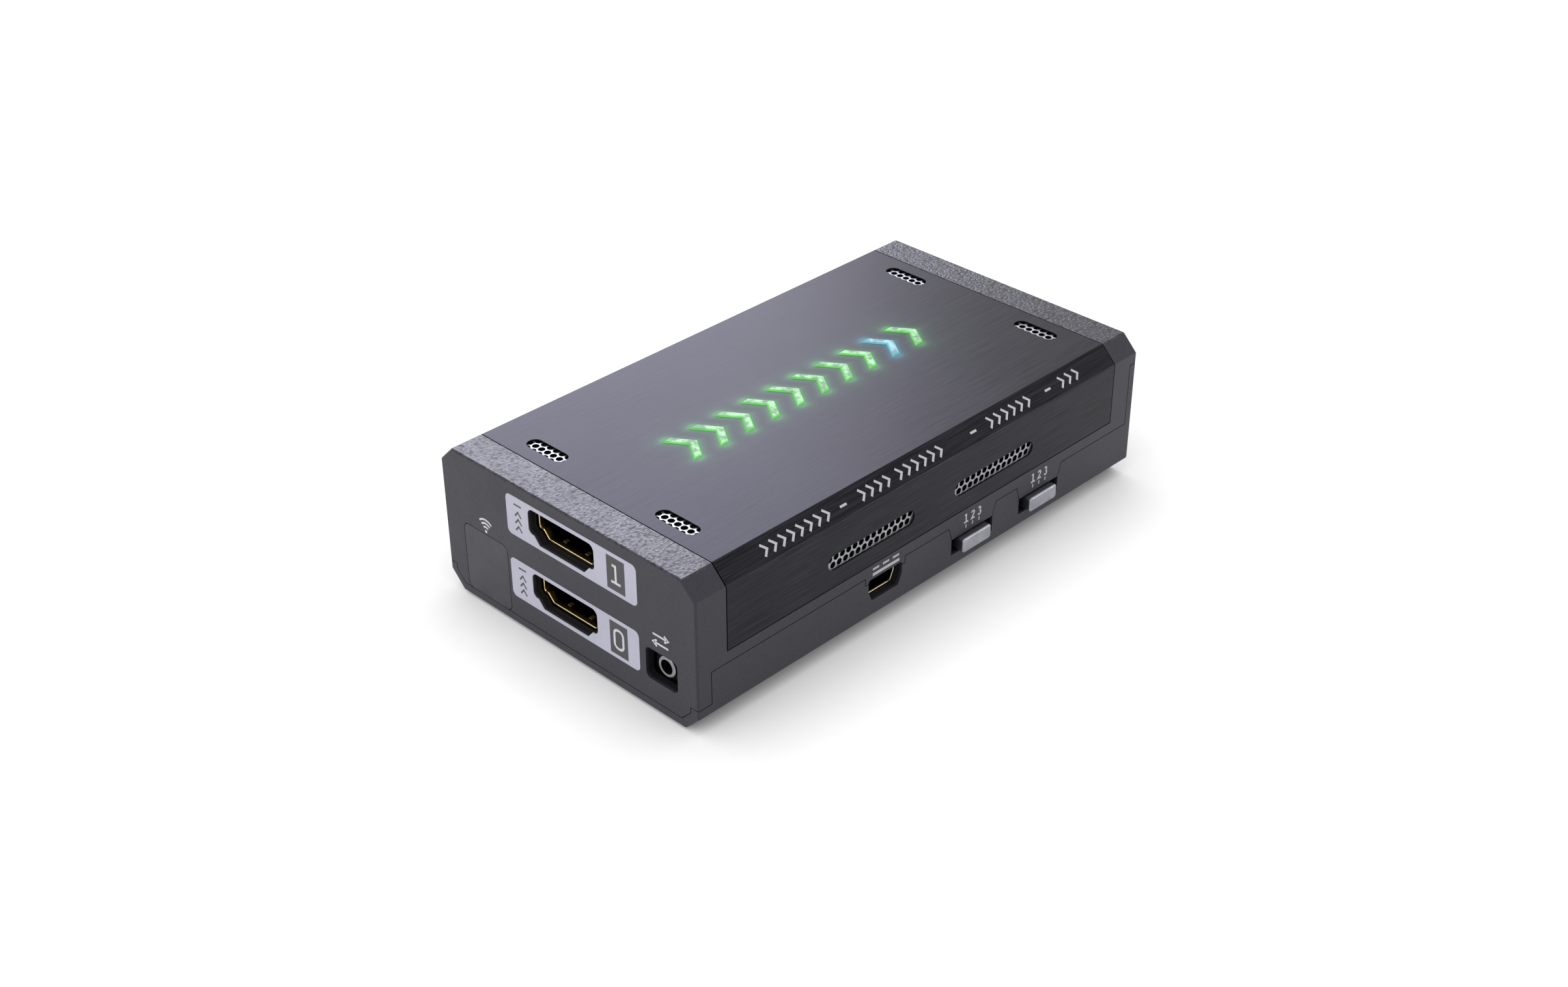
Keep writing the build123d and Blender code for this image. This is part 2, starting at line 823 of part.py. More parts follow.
power_back = power_recess + power_depth
tongue_z = power_z + power_tongue_rise
with BuildPart() as power_tongue:
    with BuildSketch(near_plane(power_back, power_x, power_z)):
        add(power_outline(power_clearance + power_sheet))
    extrude(amount=power_base)
    with BuildSketch(near_plane(power_back, power_x, tongue_z)):
        Rectangle(power_tongue_width, power_tongue_thick)
    extrude(amount=power_depth - power_tongue_recess)
save(power_tongue, "power_tongue")

power_pin_z = tongue_z - (power_tongue_thick + power_contact_height) / 2
with BuildPart() as power_pins:
    with BuildSketch(near_plane(power_back - power_base, power_x, power_pin_z)):
        with GridLocations(power_contact_pitch, 1, power_contacts, 1):
            Rectangle(power_contact_width, power_contact_height)
    extrude(amount=power_depth - power_base - power_contact_recess)
save(power_pins, "power_contacts")

# Slide switches
slot_middle = case_bottom + switch_low + switch_tall / 2
shutter_front = side_wall + shutter_gap
can_front = shutter_front + shutter_sheet + shutter_gap
can_middle = board_top + switch_can_tall / 2
for name, place in switch_places.items():
    with BuildPart() as can:
        with BuildSketch(near_plane(can_front, place, can_middle)):
            Rectangle(switch_can_length, switch_can_tall)
        extrude(amount=-switch_can_depth)
        with BuildSketch(near_plane(can_front + switch_can_sheet, place, can_middle - switch_can_sheet)):
            Rectangle(switch_can_length - 2 * switch_can_sheet, switch_can_tall)
        extrude(amount=-switch_can_depth, mode=Mode.SUBTRACT)
        with BuildSketch(near_plane(can_front - reach, place, slot_middle)):
            Rectangle(stem_length + 2 * (switch_travel + knob_fit), stem_tall + 2 * knob_fit)
        extrude(amount=-(reach + 2 * switch_can_sheet), mode=Mode.SUBTRACT)
    save(can, f"{name}_can")

    base_front = can_front + switch_can_sheet + switch_base_room
    with BuildPart() as base:
        with BuildSketch(near_plane(base_front, place, can_middle - switch_can_sheet / 2)):
            Rectangle(switch_can_length - 2 * switch_can_sheet, switch_can_tall - switch_can_sheet)
        extrude(amount=-(switch_can_depth - switch_can_sheet - switch_base_room))
    save(base, f"{name}_base")

    with BuildPart() as pins:
        pin_plane = near_plane(can_front + switch_can_depth, place, board_top + switch_pin_thick / 2)
        with BuildSketch(pin_plane):
            with GridLocations(switch_pin_pitch, 1, switch_pins, 1):
                Rectangle(switch_pin_width, switch_pin_thick)
        extrude(amount=-switch_pin_length)
    save(pins, f"{name}_pins")

    with BuildPart() as knob:
        with BuildSketch(near_plane(shutter_front, place, slot_middle)):
            Rectangle(knob_length, switch_tall - 2 * knob_fit)
        extrude(amount=shutter_front + knob_proud)
        fillet(knob.edges().filter_by(Axis.Y), radius=knob_corner)
        fillet(knob.faces().sort_by(Axis.Y)[0].edges(), radius=knob_round)
    save(knob, f"{name}_knob")

    with BuildPart() as slider:
        with BuildSketch(near_plane(shutter_front, place, slot_middle)):
            Rectangle(shutter_length, switch_tall + 2 * shutter_lap)
        extrude(amount=-shutter_sheet)
        with BuildSketch(near_plane(shutter_front + shutter_sheet, place, slot_middle)):
            Rectangle(stem_length, stem_tall)
        extrude(amount=-(shutter_gap + switch_can_sheet + carriage_fit + carriage_depth))
        carriage_middle = board_top + carriage_fit + carriage_tall / 2
        with BuildSketch(near_plane(can_front + switch_can_sheet + carriage_fit, place, carriage_middle)):
            Rectangle(carriage_length, carriage_tall)
        extrude(amount=-carriage_depth)
    save(slider, f"{name}_slider")

# Main board and the LED board
with BuildPart() as main_board:
    with BuildSketch(level_plane(board_under_z)):
        Rectangle(2 * board_half_length, 2 * board_half_width)
        with Locations(*post_places):
            Circle(screw_radius + screw_fit, mode=Mode.SUBTRACT)
    extrude(amount=board_sheet)
save(main_board, "main_board")

with BuildPart() as led_board:
    with BuildSketch(level_plane(led_board_low)):
        Rectangle(2 * led_board_half, led_board_width)
        with Locations(*led_post_places):
            Circle(led_screw_radius + thread_fit, mode=Mode.SUBTRACT)
    extrude(amount=led_board_sheet)
save(led_board, "led_board")

with BuildPart() as leds:
    with BuildSketch(level_plane(led_board_top)):
        with Locations(*[(x, 0) for x in chevron_places]):
            Rectangle(led_size, led_size)
    extrude(amount=led_tall)
save(leds, "leds")


# Light guides: a plate under the roof, a block through it, and the chevrons through the cover
def guide_blank(places, length, width, flange):
    """A light guide from below its flange up to the tips of its chevrons."""
    middle = (min(places) + max(places)) / 2
    with BuildPart() as blank:
        with BuildSketch(level_plane(roof_under - guide_flange_sheet, middle)):
            Rectangle(length + 2 * flange, width + 2 * flange)
        extrude(amount=guide_flange_sheet)
        with BuildSketch(level_plane(roof_under, middle)):
            Rectangle(length, width)
        extrude(amount=cover_under - roof_under)
        with BuildSketch(level_plane(cover_under)):
            for place in places:
                add(chevron(place, 0))
        extrude(amount=cover_sheet + chevron_proud)
        tips = blank.faces().group_by(Axis.Z)[-1]
        chamfer(tips.edges(), length=chevron_bevel)
    return blank.part


accent_length = chevron_length + 2 * accent_rail
accent_width = 2 * (chevron_half + accent_rail)
with BuildPart() as light_guide:
    green_places = [x for x in chevron_places if x != accent_place]
    add(guide_blank(green_places, guide_length, guide_width, guide_flange))
    with BuildSketch(level_plane(roof_under - guide_flange_sheet, accent_place)):
        Rectangle(accent_length + 2 * guide_fit, accent_width + 2 * guide_fit)
    extrude(amount=guide_flange_sheet + roof_wall, mode=Mode.SUBTRACT)
save(light_guide, "light_guide")

with BuildPart() as accent_guide:
    add(guide_blank([accent_place], accent_length, accent_width, 0))
save(accent_guide, "accent_guide")

# Pin header that links the two boards
header_top = board_top + header_tall
socket_low = led_board_low - header_socket_tall
with BuildPart() as header_base:
    with BuildSketch(level_plane(board_top, header_x)):
        Rectangle(header_count * header_pitch, header_pitch)
    extrude(amount=header_tall)
save(header_base, "header_base")

with BuildPart() as header_pins:
    with BuildSketch(level_plane(header_top, header_x)):
        with GridLocations(header_pitch, 1, header_count, 1):
            Rectangle(header_pin, header_pin)
    extrude(amount=socket_low + header_reach - header_top)
save(header_pins, "header_pins")

with BuildPart() as header_socket:
    with BuildSketch(level_plane(socket_low, header_x)):
        Rectangle(header_count * header_pitch, header_pitch)
    extrude(amount=header_socket_tall)
    with BuildSketch(level_plane(socket_low, header_x)):
        with GridLocations(header_pitch, 1, header_count, 1):
            Rectangle(header_pin + 2 * header_fit, header_pin + 2 * header_fit)
    extrude(amount=header_reach + header_fit, mode=Mode.SUBTRACT)
save(header_socket, "header_socket")

# Switching chip with its pad and heat sink
with BuildPart() as matrix_chip:
    with BuildSketch(level_plane(board_top, chip_x, chip_y)):
        Rectangle(chip_size, chip_size)
    extrude(amount=chip_tall)
    chamfer(matrix_chip.faces().sort_by(Axis.Z)[-1].edges(), length=chip_bevel)
save(matrix_chip, "matrix_chip")

pad_low = board_top + chip_tall
with BuildPart() as thermal_pad:
    with BuildSketch(level_plane(pad_low, chip_x, chip_y)):
        Rectangle(chip_size - 2 * pad_margin, chip_size - 2 * pad_margin)
    extrude(amount=pad_thick)
save(thermal_pad, "thermal_pad")

sink_low = pad_low + pad_thick
with BuildPart() as heat_sink:
    with BuildSketch(level_plane(sink_low, chip_x, chip_y)):
        Rectangle(sink_size, sink_size)
    extrude(amount=sink_base)
    with BuildSketch(level_plane(sink_low + sink_base, chip_x, chip_y)):
        with GridLocations(1, (sink_size - sink_fin) / (sink_fins - 1), 1, sink_fins):
            Rectangle(sink_size, sink_fin)
    extrude(amount=sink_fin_tall)
save(heat_sink, "heat_sink")

# Controller with its leads, memories, crystal, coils, capacitors and small parts
with BuildPart() as controller_chip:
    with BuildSketch(level_plane(board_top + lead_tall, processor_x, processor_y)):
        Rectangle(processor_side, processor_side)
    extrude(amount=processor_tall)
    lead_row = (processor_side - lead_pitch) // lead_pitch
    for turn in (0, 90):
        with BuildSketch(Plane(origin=(processor_x, processor_y, board_top)).rotated((0, 0, turn))):
            with GridLocations(lead_pitch, processor_side + lead_out, int(lead_row), 2):
                Rectangle(lead_width, lead_out + lead_foot)
        extrude(amount=lead_tall)
save(controller_chip, "controller_chip")

with BuildPart() as memory_chips:
    with BuildSketch(level_plane(board_top)):
        with Locations(*memory_places):
            Rectangle(memory_length, memory_width)
    extrude(amount=memory_tall)
save(memory_chips, "memory_chips")

with BuildPart() as crystal:
    with BuildSketch(level_plane(board_top, crystal_x, crystal_y)):
        SlotOverall(crystal_length, crystal_width)
    extrude(amount=crystal_tall)
    fillet(crystal.faces().sort_by(Axis.Z)[-1].edges(), radius=crystal_round)
save(crystal, "crystal")

with BuildPart() as inductors:
    with BuildSketch(level_plane(board_top)):
        with Locations(*inductor_places):
            RectangleRounded(inductor_size, inductor_size, inductor_corner)
    extrude(amount=inductor_tall)
save(inductors, "inductors")

with BuildPart() as capacitors:
    with BuildSketch(level_plane(board_top)):
        with Locations(*capacitor_places):
            Circle(capacitor_radius)
    extrude(amount=capacitor_tall)
    fillet(capacitors.faces().group_by(Axis.Z)[-1].edges(), radius=capacitor_round)
save(capacitors, "capacitors")

with BuildPart() as small_parts:
    with BuildSketch(level_plane(board_top)):
        for middle in small_part_middles:
            with Locations(middle):
                with GridLocations(
                    small_part_pitch, small_part_pitch, small_part_columns_count, small_part_rows_count
                ):
                    Rectangle(small_part_width, small_part_length)
    extrude(amount=small_part_tall)
save(small_parts, "small_parts")

# Screws and feet
head_low = case_bottom + screw_sink
with BuildPart() as case_screws:
    with BuildSketch(level_plane(head_low)):
        with Locations(*post_places):
            Circle(screw_head)
    extrude(amount=screw_head_tall)
    with BuildSketch(level_plane(head_low + screw_head_tall)):
        with Locations(*post_places):
            Circle(screw_radius)
    extrude(amount=screw_length)
    with BuildSketch(level_plane(head_low)):
        with Locations(*post_places):
            Rectangle(screw_cross_length, screw_cross)
            Rectangle(screw_cross, screw_cross_length)
    extrude(amount=screw_cross_deep, mode=Mode.SUBTRACT)
save(case_screws, "case_screws")

with BuildPart() as led_board_screws:
    with BuildSketch(level_plane(led_board_low)):
        with Locations(*led_post_places):
            Circle(led_screw_head)
    extrude(amount=-led_screw_head_tall)
    with BuildSketch(level_plane(led_board_low)):
        with Locations(*led_post_places):
            Circle(led_screw_radius)
    extrude(amount=led_screw_length + led_board_sheet - led_screw_room)
save(led_board_screws, "led_board_screws")

with BuildPart() as rubber_feet:
    with BuildSketch(level_plane(case_bottom + foot_thick - foot_stand)):
        with Locations(*foot_places):
            Circle(foot_radius - foot_fit)
    extrude(amount=-foot_thick)
    fillet(rubber_feet.faces().group_by(Axis.Z)[0].edges(), radius=foot_round)
save(rubber_feet, "rubber_feet")

print(len(written), "pieces written")
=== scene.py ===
import json
from math import cos, pi, radians, sin, sqrt

import bmesh
import bpy
from mathutils import Matrix, Vector


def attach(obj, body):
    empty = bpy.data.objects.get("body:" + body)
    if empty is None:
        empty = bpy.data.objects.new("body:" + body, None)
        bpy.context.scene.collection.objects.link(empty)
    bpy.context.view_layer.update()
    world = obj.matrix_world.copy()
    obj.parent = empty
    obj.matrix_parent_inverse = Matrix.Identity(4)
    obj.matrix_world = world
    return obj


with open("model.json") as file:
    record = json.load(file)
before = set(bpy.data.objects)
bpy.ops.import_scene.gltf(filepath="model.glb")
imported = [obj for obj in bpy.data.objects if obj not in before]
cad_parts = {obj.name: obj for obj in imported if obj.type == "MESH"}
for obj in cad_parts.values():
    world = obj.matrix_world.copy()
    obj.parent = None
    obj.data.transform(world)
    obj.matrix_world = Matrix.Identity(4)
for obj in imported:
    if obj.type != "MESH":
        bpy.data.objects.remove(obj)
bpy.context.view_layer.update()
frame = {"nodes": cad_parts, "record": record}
nodes = frame["nodes"]

# Sizes are in millimetres and are turned into metres where a mesh or a pattern is made.
MM = 0.001

# The case and what opens in it, as the CAD has them
HALF_LENGTH = 54.0
HALF_WIDTH = 30.0
CASE_LOW = 0.4
CASE_TOP = 28.0
BEVEL = 3.0
COVER_SHEET = 0.4
COVER_UNDER = 27.6
LABEL_FACE = 54.05
PORT_ACROSS = 0.33
PORT_HEIGHTS = (9.8, 22.0)
JACK_ACROSS = -22.05
SWITCH_PLACES = (10.02, 27.78)
POWER_ALONG = -11.82
POWER_MIDDLE = 8.32

# Across plus height along the top bevel, across less height along the low one, and the part
# of a step across or up that goes square to a bevel
TOP_BEVEL_LINE = 55.0
LOW_BEVEL_LINE = 26.55
SLOPE = sqrt(0.5)

# The vents, and the holes of the plates behind them
TOP_VENT_LENGTH = 8.95
TOP_VENT_ALONG = 43.5
TOP_VENT_ACROSS = 15.3
SIDE_VENT_LENGTH = 20.4
SIDE_VENT_ALONG = 15.2
SIDE_VENT_HEIGHT = 17.95
MESH_PITCH = 1.46
MESH_RISE = 1.27
MESH_HOLE = 1.2
TOP_ROWS = (-1, 0, 1)
SIDE_ROWS = (-1.5, -0.5, 0.5, 1.5)

# The glowing row in the cover
CHEVRON_COUNT = 10
CHEVRON_ACCENT = 8
CHEVRON_PITCH = 5.9479
CHEVRON_HALF = 3.8
CHEVRON_DEPTH = 2.6
CHEVRON_STROKE = 1.46
CHEVRON_FIRST = -CHEVRON_PITCH * (CHEVRON_COUNT - 1) / 2
CHEVRON_LEAN = CHEVRON_HALF / sqrt(CHEVRON_DEPTH**2 + CHEVRON_HALF**2)

# The row's light painted as glow on the cover: its colours, and the strength and fade per
# millimetre of its near and its wide part
GREEN_GLOW = (0.15, 0.84, 0.22)
CYAN_GLOW = (0.12, 0.60, 0.72)
NEAR_LIGHT = (0.20, -2.2)
WIDE_LIGHT = (0.07, -0.62)

# A metal's painted shade colour down in an opening, as a share of its dark colour
SHADE_COLOR_SHARE = 0.1


# Finishes
class Finish:
    """A material being built: its nodes, and short calls that add them and join them up."""

    def __init__(self, name, color, roughness, metallic=0.0):
        self.material = bpy.data.materials.new(name)
        self.material.use_nodes = True
        self.tree = self.material.node_tree
        self.surface = self.tree.nodes["Principled BSDF"]
        self.set("Base Color", color)
        self.set("Roughness", roughness)
        self.set("Metallic", metallic)
        self.place = self.node("ShaderNodeTexCoord").outputs["Object"]

    def node(self, kind, **settings):
        made = self.tree.nodes.new(kind)
        for name, value in settings.items():
            setattr(made, name, value)
        return made

    def put(self, socket, value):
        """Join an output to the socket, or set the socket's own number or colour."""
        if isinstance(value, bpy.types.NodeSocket):
            self.tree.links.new(value, socket)
        elif socket.type == "RGBA":
            socket.default_value = (*value, 1.0)
        else:
            socket.default_value = value

    def set(self, name, value):
        self.put(self.surface.inputs[name], value)

    def math(self, operation, *values, clamp=False):
        made = self.node("ShaderNodeMath", operation=operation, use_clamp=clamp)
        for socket, value in zip(made.inputs, values):
            self.put(socket, value)
        return made.outputs[0]

    def axes(self):
        """The point's own place, in millimetres along each axis."""
        scaled = self.node("ShaderNodeVectorMath", operation="SCALE")
        self.put(scaled.inputs[0], self.place)
        scaled.inputs["Scale"].default_value = 1 / MM
        apart = self.node("ShaderNodeSeparateXYZ")
        self.put(apart.inputs[0], scaled.outputs[0])
        return apart.outputs[0], apart.outputs[1], apart.outputs[2]

    def pattern(self, place, scale, detail, roughness):
        made = self.node("ShaderNodeTexNoise")
        self.put(made.inputs["Vector"], place)
        made.inputs["Scale"].default_value = scale
        made.inputs["Detail"].default_value = detail
        made.inputs["Roughness"].default_value = roughness
        return made.outputs[0]

    def noise(self, size, detail=3.0, roughness=0.5):
        """Soft random pattern whose lumps are about size millimetres."""
        return self.pattern(self.place, 1 / (size * MM), detail, roughness)

    def brushing(self, scales, detail, roughness):
        """Random pattern with its own scale along each axis, so that it is drawn out into hairs."""
        mapping = self.node("ShaderNodeMapping")
        self.put(mapping.inputs["Vector"], self.place)
        mapping.inputs["Scale"].default_value = scales
        return self.pattern(mapping.outputs[0], 1.0, detail, roughness)

    def cells(self, size, smooth=None):
        """Cells about size millimetres wide: the distance from each cell's middle."""
        made = self.node("ShaderNodeTexVoronoi")
        self.put(made.inputs["Vector"], self.place)
        made.inputs["Scale"].default_value = 1 / (size * MM)
        if smooth is not None:
            made.feature = "SMOOTH_F1"
            made.inputs["Smoothness"].default_value = smooth
        return made.outputs["Distance"]

    def spread(self, value, low, high, start=0.0, end=1.0):
        """Value mapped from start..end to low..high, held at both ends."""
        made = self.node("ShaderNodeMapRange")
        for name, given in (
            ("Value", value),
            ("From Min", start),
            ("From Max", end),
            ("To Min", low),
            ("To Max", high),
        ):
            self.put(made.inputs[name], given)
        return made.outputs[0]

    def rise(self, value, start, end):
        """0 up to start, and 1 from end on."""
        return self.spread(value, 0.0, 1.0, start, end)

    def fall(self, value, start, end):
        """1 up to start, and 0 from end on."""
        return self.spread(value, 1.0, 0.0, start, end)

    def varied(self, pattern, low, high):
        """Low to high over the values that a soft pattern mostly takes."""
        return self.spread(pattern, low, high, 0.3, 0.7)

    def blended(self, first, second, share):
        """A sum of two patterns, in which the second has the given share."""
        rest = self.math("MULTIPLY", first, 1 - share)
        return self.math("ADD", rest, self.math("MULTIPLY", second, share))

    def mixed(self, factor, first, second):
        """Colour between first and second."""
        made = self.node("ShaderNodeMix", data_type="RGBA")
        for index, value in ((0, factor), (6, first), (7, second)):
            self.put(made.inputs[index], value)
        return made.outputs[2]

    def tinted(self, factor, first, second):
        """Base colour that runs from first to second with the factor."""
        self.set("Base Color", self.mixed(factor, first, second))

    def paint_opening_shade(self, depths, outside, inside):
        """Base colour with painted shade: it turns from the outside colour to the dark inside colour
        between two depths in the openings and seams.
        """
        self.tinted(self.painted_shade_share(*depths), outside, inside)

    def painted_shade_share(self, start, end):
        """Painted shade share: 0 on the outside of the case and 1 deep in its openings and seams, by the
        depth under the faces.
        """
        along, across, height = self.axes()
        along = self.math("ABSOLUTE", along)
        across = self.math("ABSOLUTE", across)
        to_top_bevel = self.math("SUBTRACT", TOP_BEVEL_LINE, self.math("ADD", across, height))
        to_low_bevel = self.math("SUBTRACT", LOW_BEVEL_LINE, self.math("SUBTRACT", across, height))
        least = self.math("SUBTRACT", LABEL_FACE, along)
        for depth in (
            self.math("SUBTRACT", HALF_WIDTH, across),
            self.math("SUBTRACT", CASE_TOP, height),
            self.math("SUBTRACT", height, CASE_LOW),
            self.math("MULTIPLY", to_top_bevel, SLOPE),
            self.math("MULTIPLY", to_low_bevel, SLOPE),
        ):
            least = self.math("MINIMUM", least, depth)
        return self.rise(least, start, end)

    def bump(self, height, depth, strength):
        """Relief depth millimetres deep, over any relief already there."""
        made = self.node("ShaderNodeBump")
        made.inputs["Strength"].default_value = strength
        made.inputs["Distance"].default_value = depth * MM
        self.put(made.inputs["Height"], height)
        normal = self.surface.inputs["Normal"]
        if normal.is_linked:
            self.put(made.inputs["Normal"], normal.links[0].from_socket)
        self.put(normal, made.outputs[0])


def row_step(finish, along, reach):
    """A point's place in the glowing row, counted in chevrons from the first.

    Reach is its distance from the row's middle line, over which the chevrons lean back.
    """
    swept = finish.math("MULTIPLY", reach, CHEVRON_DEPTH / CHEVRON_HALF)
    line = finish.math("ADD", finish.math("SUBTRACT", along, CHEVRON_DEPTH / 2), swept)
    return finish.math("DIVIDE", finish.math("SUBTRACT", line, CHEVRON_FIRST), CHEVRON_PITCH)


def off_stroke(finish, step, number):
    """Millimetres between a place in the row and the middle of the numbered chevron's stroke."""
    offset = finish.math("ABSOLUTE", finish.math("SUBTRACT", step, number))
    return finish.math("MULTIPLY", offset, CHEVRON_PITCH * CHEVRON_LEAN)


def painted_row_glow(finish):
    """How much painted glow of the row's light a point of the cover gets, and how cyan that glow is."""
    along, across, height = finish.axes()
    across = finish.math("ABSOLUTE", across)
    step = row_step(finish, along, finish.math("MINIMUM", across, CHEVRON_HALF))
    number = finish.math("MAXIMUM", finish.math("ROUND", step), 0.0)
    number = finish.math("MINIMUM", number, CHEVRON_COUNT - 1.0)
    offset = finish.math("POWER", off_stroke(finish, step, number), 2.0)
    beyond = finish.math("MAXIMUM", finish.math("SUBTRACT", across, CHEVRON_HALF), 0.0)
    beyond = finish.math("POWER", beyond, 2.0)
    away = finish.math("SQRT", finish.math("ADD", offset, beyond))
    away = finish.math("MAXIMUM", finish.math("SUBTRACT", away, CHEVRON_STROKE / 2), 0.0)
    near, wide = (
        finish.math("MULTIPLY", finish.math("EXPONENT", finish.math("MULTIPLY", away, fade)), strength)
        for strength, fade in (NEAR_LIGHT, WIDE_LIGHT)
    )
    on_top = finish.rise(height, CASE_TOP - 0.6, CASE_TOP - 0.2)
    light = finish.math("MULTIPLY", finish.math("ADD", near, wide), on_top)
    from_accent = finish.math("ABSOLUTE", finish.math("SUBTRACT", step, CHEVRON_ACCENT))
    return light, finish.fall(from_accent, 0.38, 0.62)


def brushed_cover():
    """Dark anodised sheet, brushed along its length, with the row's spilt light painted on it as glow."""
    finish = Finish("brushed_dark_sheet", (0.17, 0.17, 0.2), 0.36, 0.92)
    hair = finish.brushing((110.0, 8500.0, 8500.0), 2.0, 0.6)
    streak = finish.brushing((80.0, 3400.0, 3400.0), 3.0, 0.65)
    worked = finish.blended(hair, streak, 0.4)
    cloud = finish.varied(finish.noise(26.0, 2.0), -0.08, 0.08)
    tone = finish.math("ADD", finish.rise(worked, 0.41, 0.60), cloud, clamp=True)
    outside = finish.mixed(tone, (0.0095, 0.0092, 0.0116), (0.0265, 0.0258, 0.0328))
    # Painted shade: the metal turns near black from 0.2 to 0.35 mm deep in openings and seams
    finish.paint_opening_shade((0.2, 0.35), outside, (0.012, 0.012, 0.014))
    finish.set("Roughness", finish.varied(worked, 0.28, 0.42))
    finish.set("Anisotropic", 0.6)
    finish.set("Anisotropic Rotation", 0.25)
    grain = finish.node("ShaderNodeCombineXYZ")
    grain.inputs[0].default_value = 1.0
    finish.set("Tangent", grain.outputs[0])
    finish.bump(hair, 0.006, 0.5)
    finish.bump(streak, 0.02, 0.35)
    # Painted light: emission on the metal round the chevrons stands in for their spilt light
    light, cyan = painted_row_glow(finish)
    finish.set("Emission Color", finish.mixed(cyan, GREEN_GLOW, CYAN_GLOW))
    finish.set("Emission Strength", light)
    return finish.material


def grained_plastic():
    """Dark plastic moulded with a fine leather grain, which is bolder and glossier on the end bands."""
    finish = Finish("leather_grain_plastic", (0.07, 0.069, 0.082), 0.42)
    height = finish.axes()[2]
    lumps = finish.math("MULTIPLY", finish.cells(0.55, 0.6), -0.7)
    relief = finish.math("ADD", lumps, finish.noise(0.42, 3.0, 0.55))
    peaks = finish.rise(relief, -0.15, 0.45)
    band = finish.rise(height, CASE_TOP - 0.4, CASE_TOP - 0.1)
    outside = finish.mixed(peaks, (0.033, 0.032, 0.043), (0.039, 0.038, 0.051))
    # Painted shade: the plastic turns near black from 0.36 to 0.7 mm deep in seams and openings
    finish.paint_opening_shade((0.36, 0.7), outside, (0.014, 0.014, 0.017))
    glints = finish.math("MULTIPLY", band, finish.spread(peaks, -0.17, 0.22))
    finish.set("Specular IOR Level", finish.math("ADD", glints, 0.3))
    broad = finish.varied(finish.noise(9.0, 2.0), -0.03, 0.05)
    finish.set("Roughness", finish.math("ADD", finish.spread(band, 0.42, 0.30), broad))
    finish.bump(finish.math("MULTIPLY", relief, finish.spread(band, 0.3, 1.0)), 0.09, 0.8)
    finish.bump(finish.noise(0.12, 2.0), 0.006, 0.5)
    return finish.material


def satin_label():
    """Pale lavender plate, screen printed matt, with a faint mottle."""
    finish = Finish("pale_label_plate", (0.43, 0.42, 0.49), 0.5)
    mottle = finish.noise(1.1, 4.0, 0.6)
    tone = finish.blended(mottle, finish.noise(12.0, 1.0), 0.6)
    face = finish.mixed(finish.rise(tone, 0.35, 0.65), (0.525, 0.515, 0.62), (0.59, 0.58, 0.695))
    # Painted shade: the plate turns dark from 0.08 to 0.14 mm deep in its openings
    finish.paint_opening_shade((0.08, 0.14), face, (0.030, 0.029, 0.034))
    finish.set("Roughness", finish.varied(mottle, 0.44, 0.58))
    finish.bump(finish.noise(0.18, 2.0), 0.004, 0.5)
    return finish.material


def window_plastic():
    """Smoked window plastic, smoother than the case, with a faint orange-peel wave."""
    finish = Finish("smoked_window", (0.062, 0.060, 0.072), 0.3)
    wave = finish.noise(2.4, 2.0)
    finish.tinted(finish.varied(wave, 0.0, 1.0), (0.036, 0.035, 0.045), (0.048, 0.046, 0.059))
    finish.set("Specular IOR Level", 0.3)
    finish.set("Roughness", finish.varied(finish.noise(0.6, 3.0), 0.27, 0.36))
    finish.bump(wave, 0.01, 0.4)
    return finish.material


def metal(name, dark, light, roughness, lump, depth, speckle=0.0, metallic=1.0, shade=None):
    """Metal that varies in lumps, with a speckle over them; given depths of shade, it gets painted shade
    that darkens it in openings between those two depths.
    """
    finish = Finish(name, light, roughness, metallic)
    spots = finish.noise(0.22, 2.0, 0.7)
    tone = finish.blended(finish.noise(lump, 4.0, 0.6), spots, speckle)
    color = finish.mixed(finish.rise(tone, 0.33, 0.67), dark, light)
    finish.set("Base Color", color)
    # Painted shade: the colour darkens down in openings between the depths of shade
    if shade:
        finish.paint_opening_shade(shade, color, tuple(part * SHADE_COLOR_SHARE for part in dark))
    finish.set("Roughness", finish.varied(tone, roughness + 0.07, roughness - 0.07))
    finish.bump(finish.noise(lump * 0.6, 3.0), depth, 0.6)
    if speckle:
        finish.bump(spots, depth, 0.8)
    return finish.material


def plain_plastic(name, dark, light, roughness, lump=0.8, depth=0.01):
    """Moulded plastic or resin: a faint mottle in its colour and a fine texture."""
    finish = Finish(name, light, roughness)
    mottle = finish.noise(lump, 4.0, 0.55)
    finish.tinted(finish.rise(mottle, 0.32, 0.68), dark, light)
    finish.set("Roughness", finish.varied(mottle, roughness - 0.06, roughness + 0.08))
    finish.bump(finish.noise(lump * 0.35, 3.0), depth, 0.6)
    return finish.material


def off_track(finish, value, pitch):
    """How far a value lies from the middle of its track, as a share of the tracks' pitch."""
    share = finish.math("FRACT", finish.math("DIVIDE", value, pitch))
    return finish.math("ABSOLUTE", finish.math("SUBTRACT", share, 0.5))


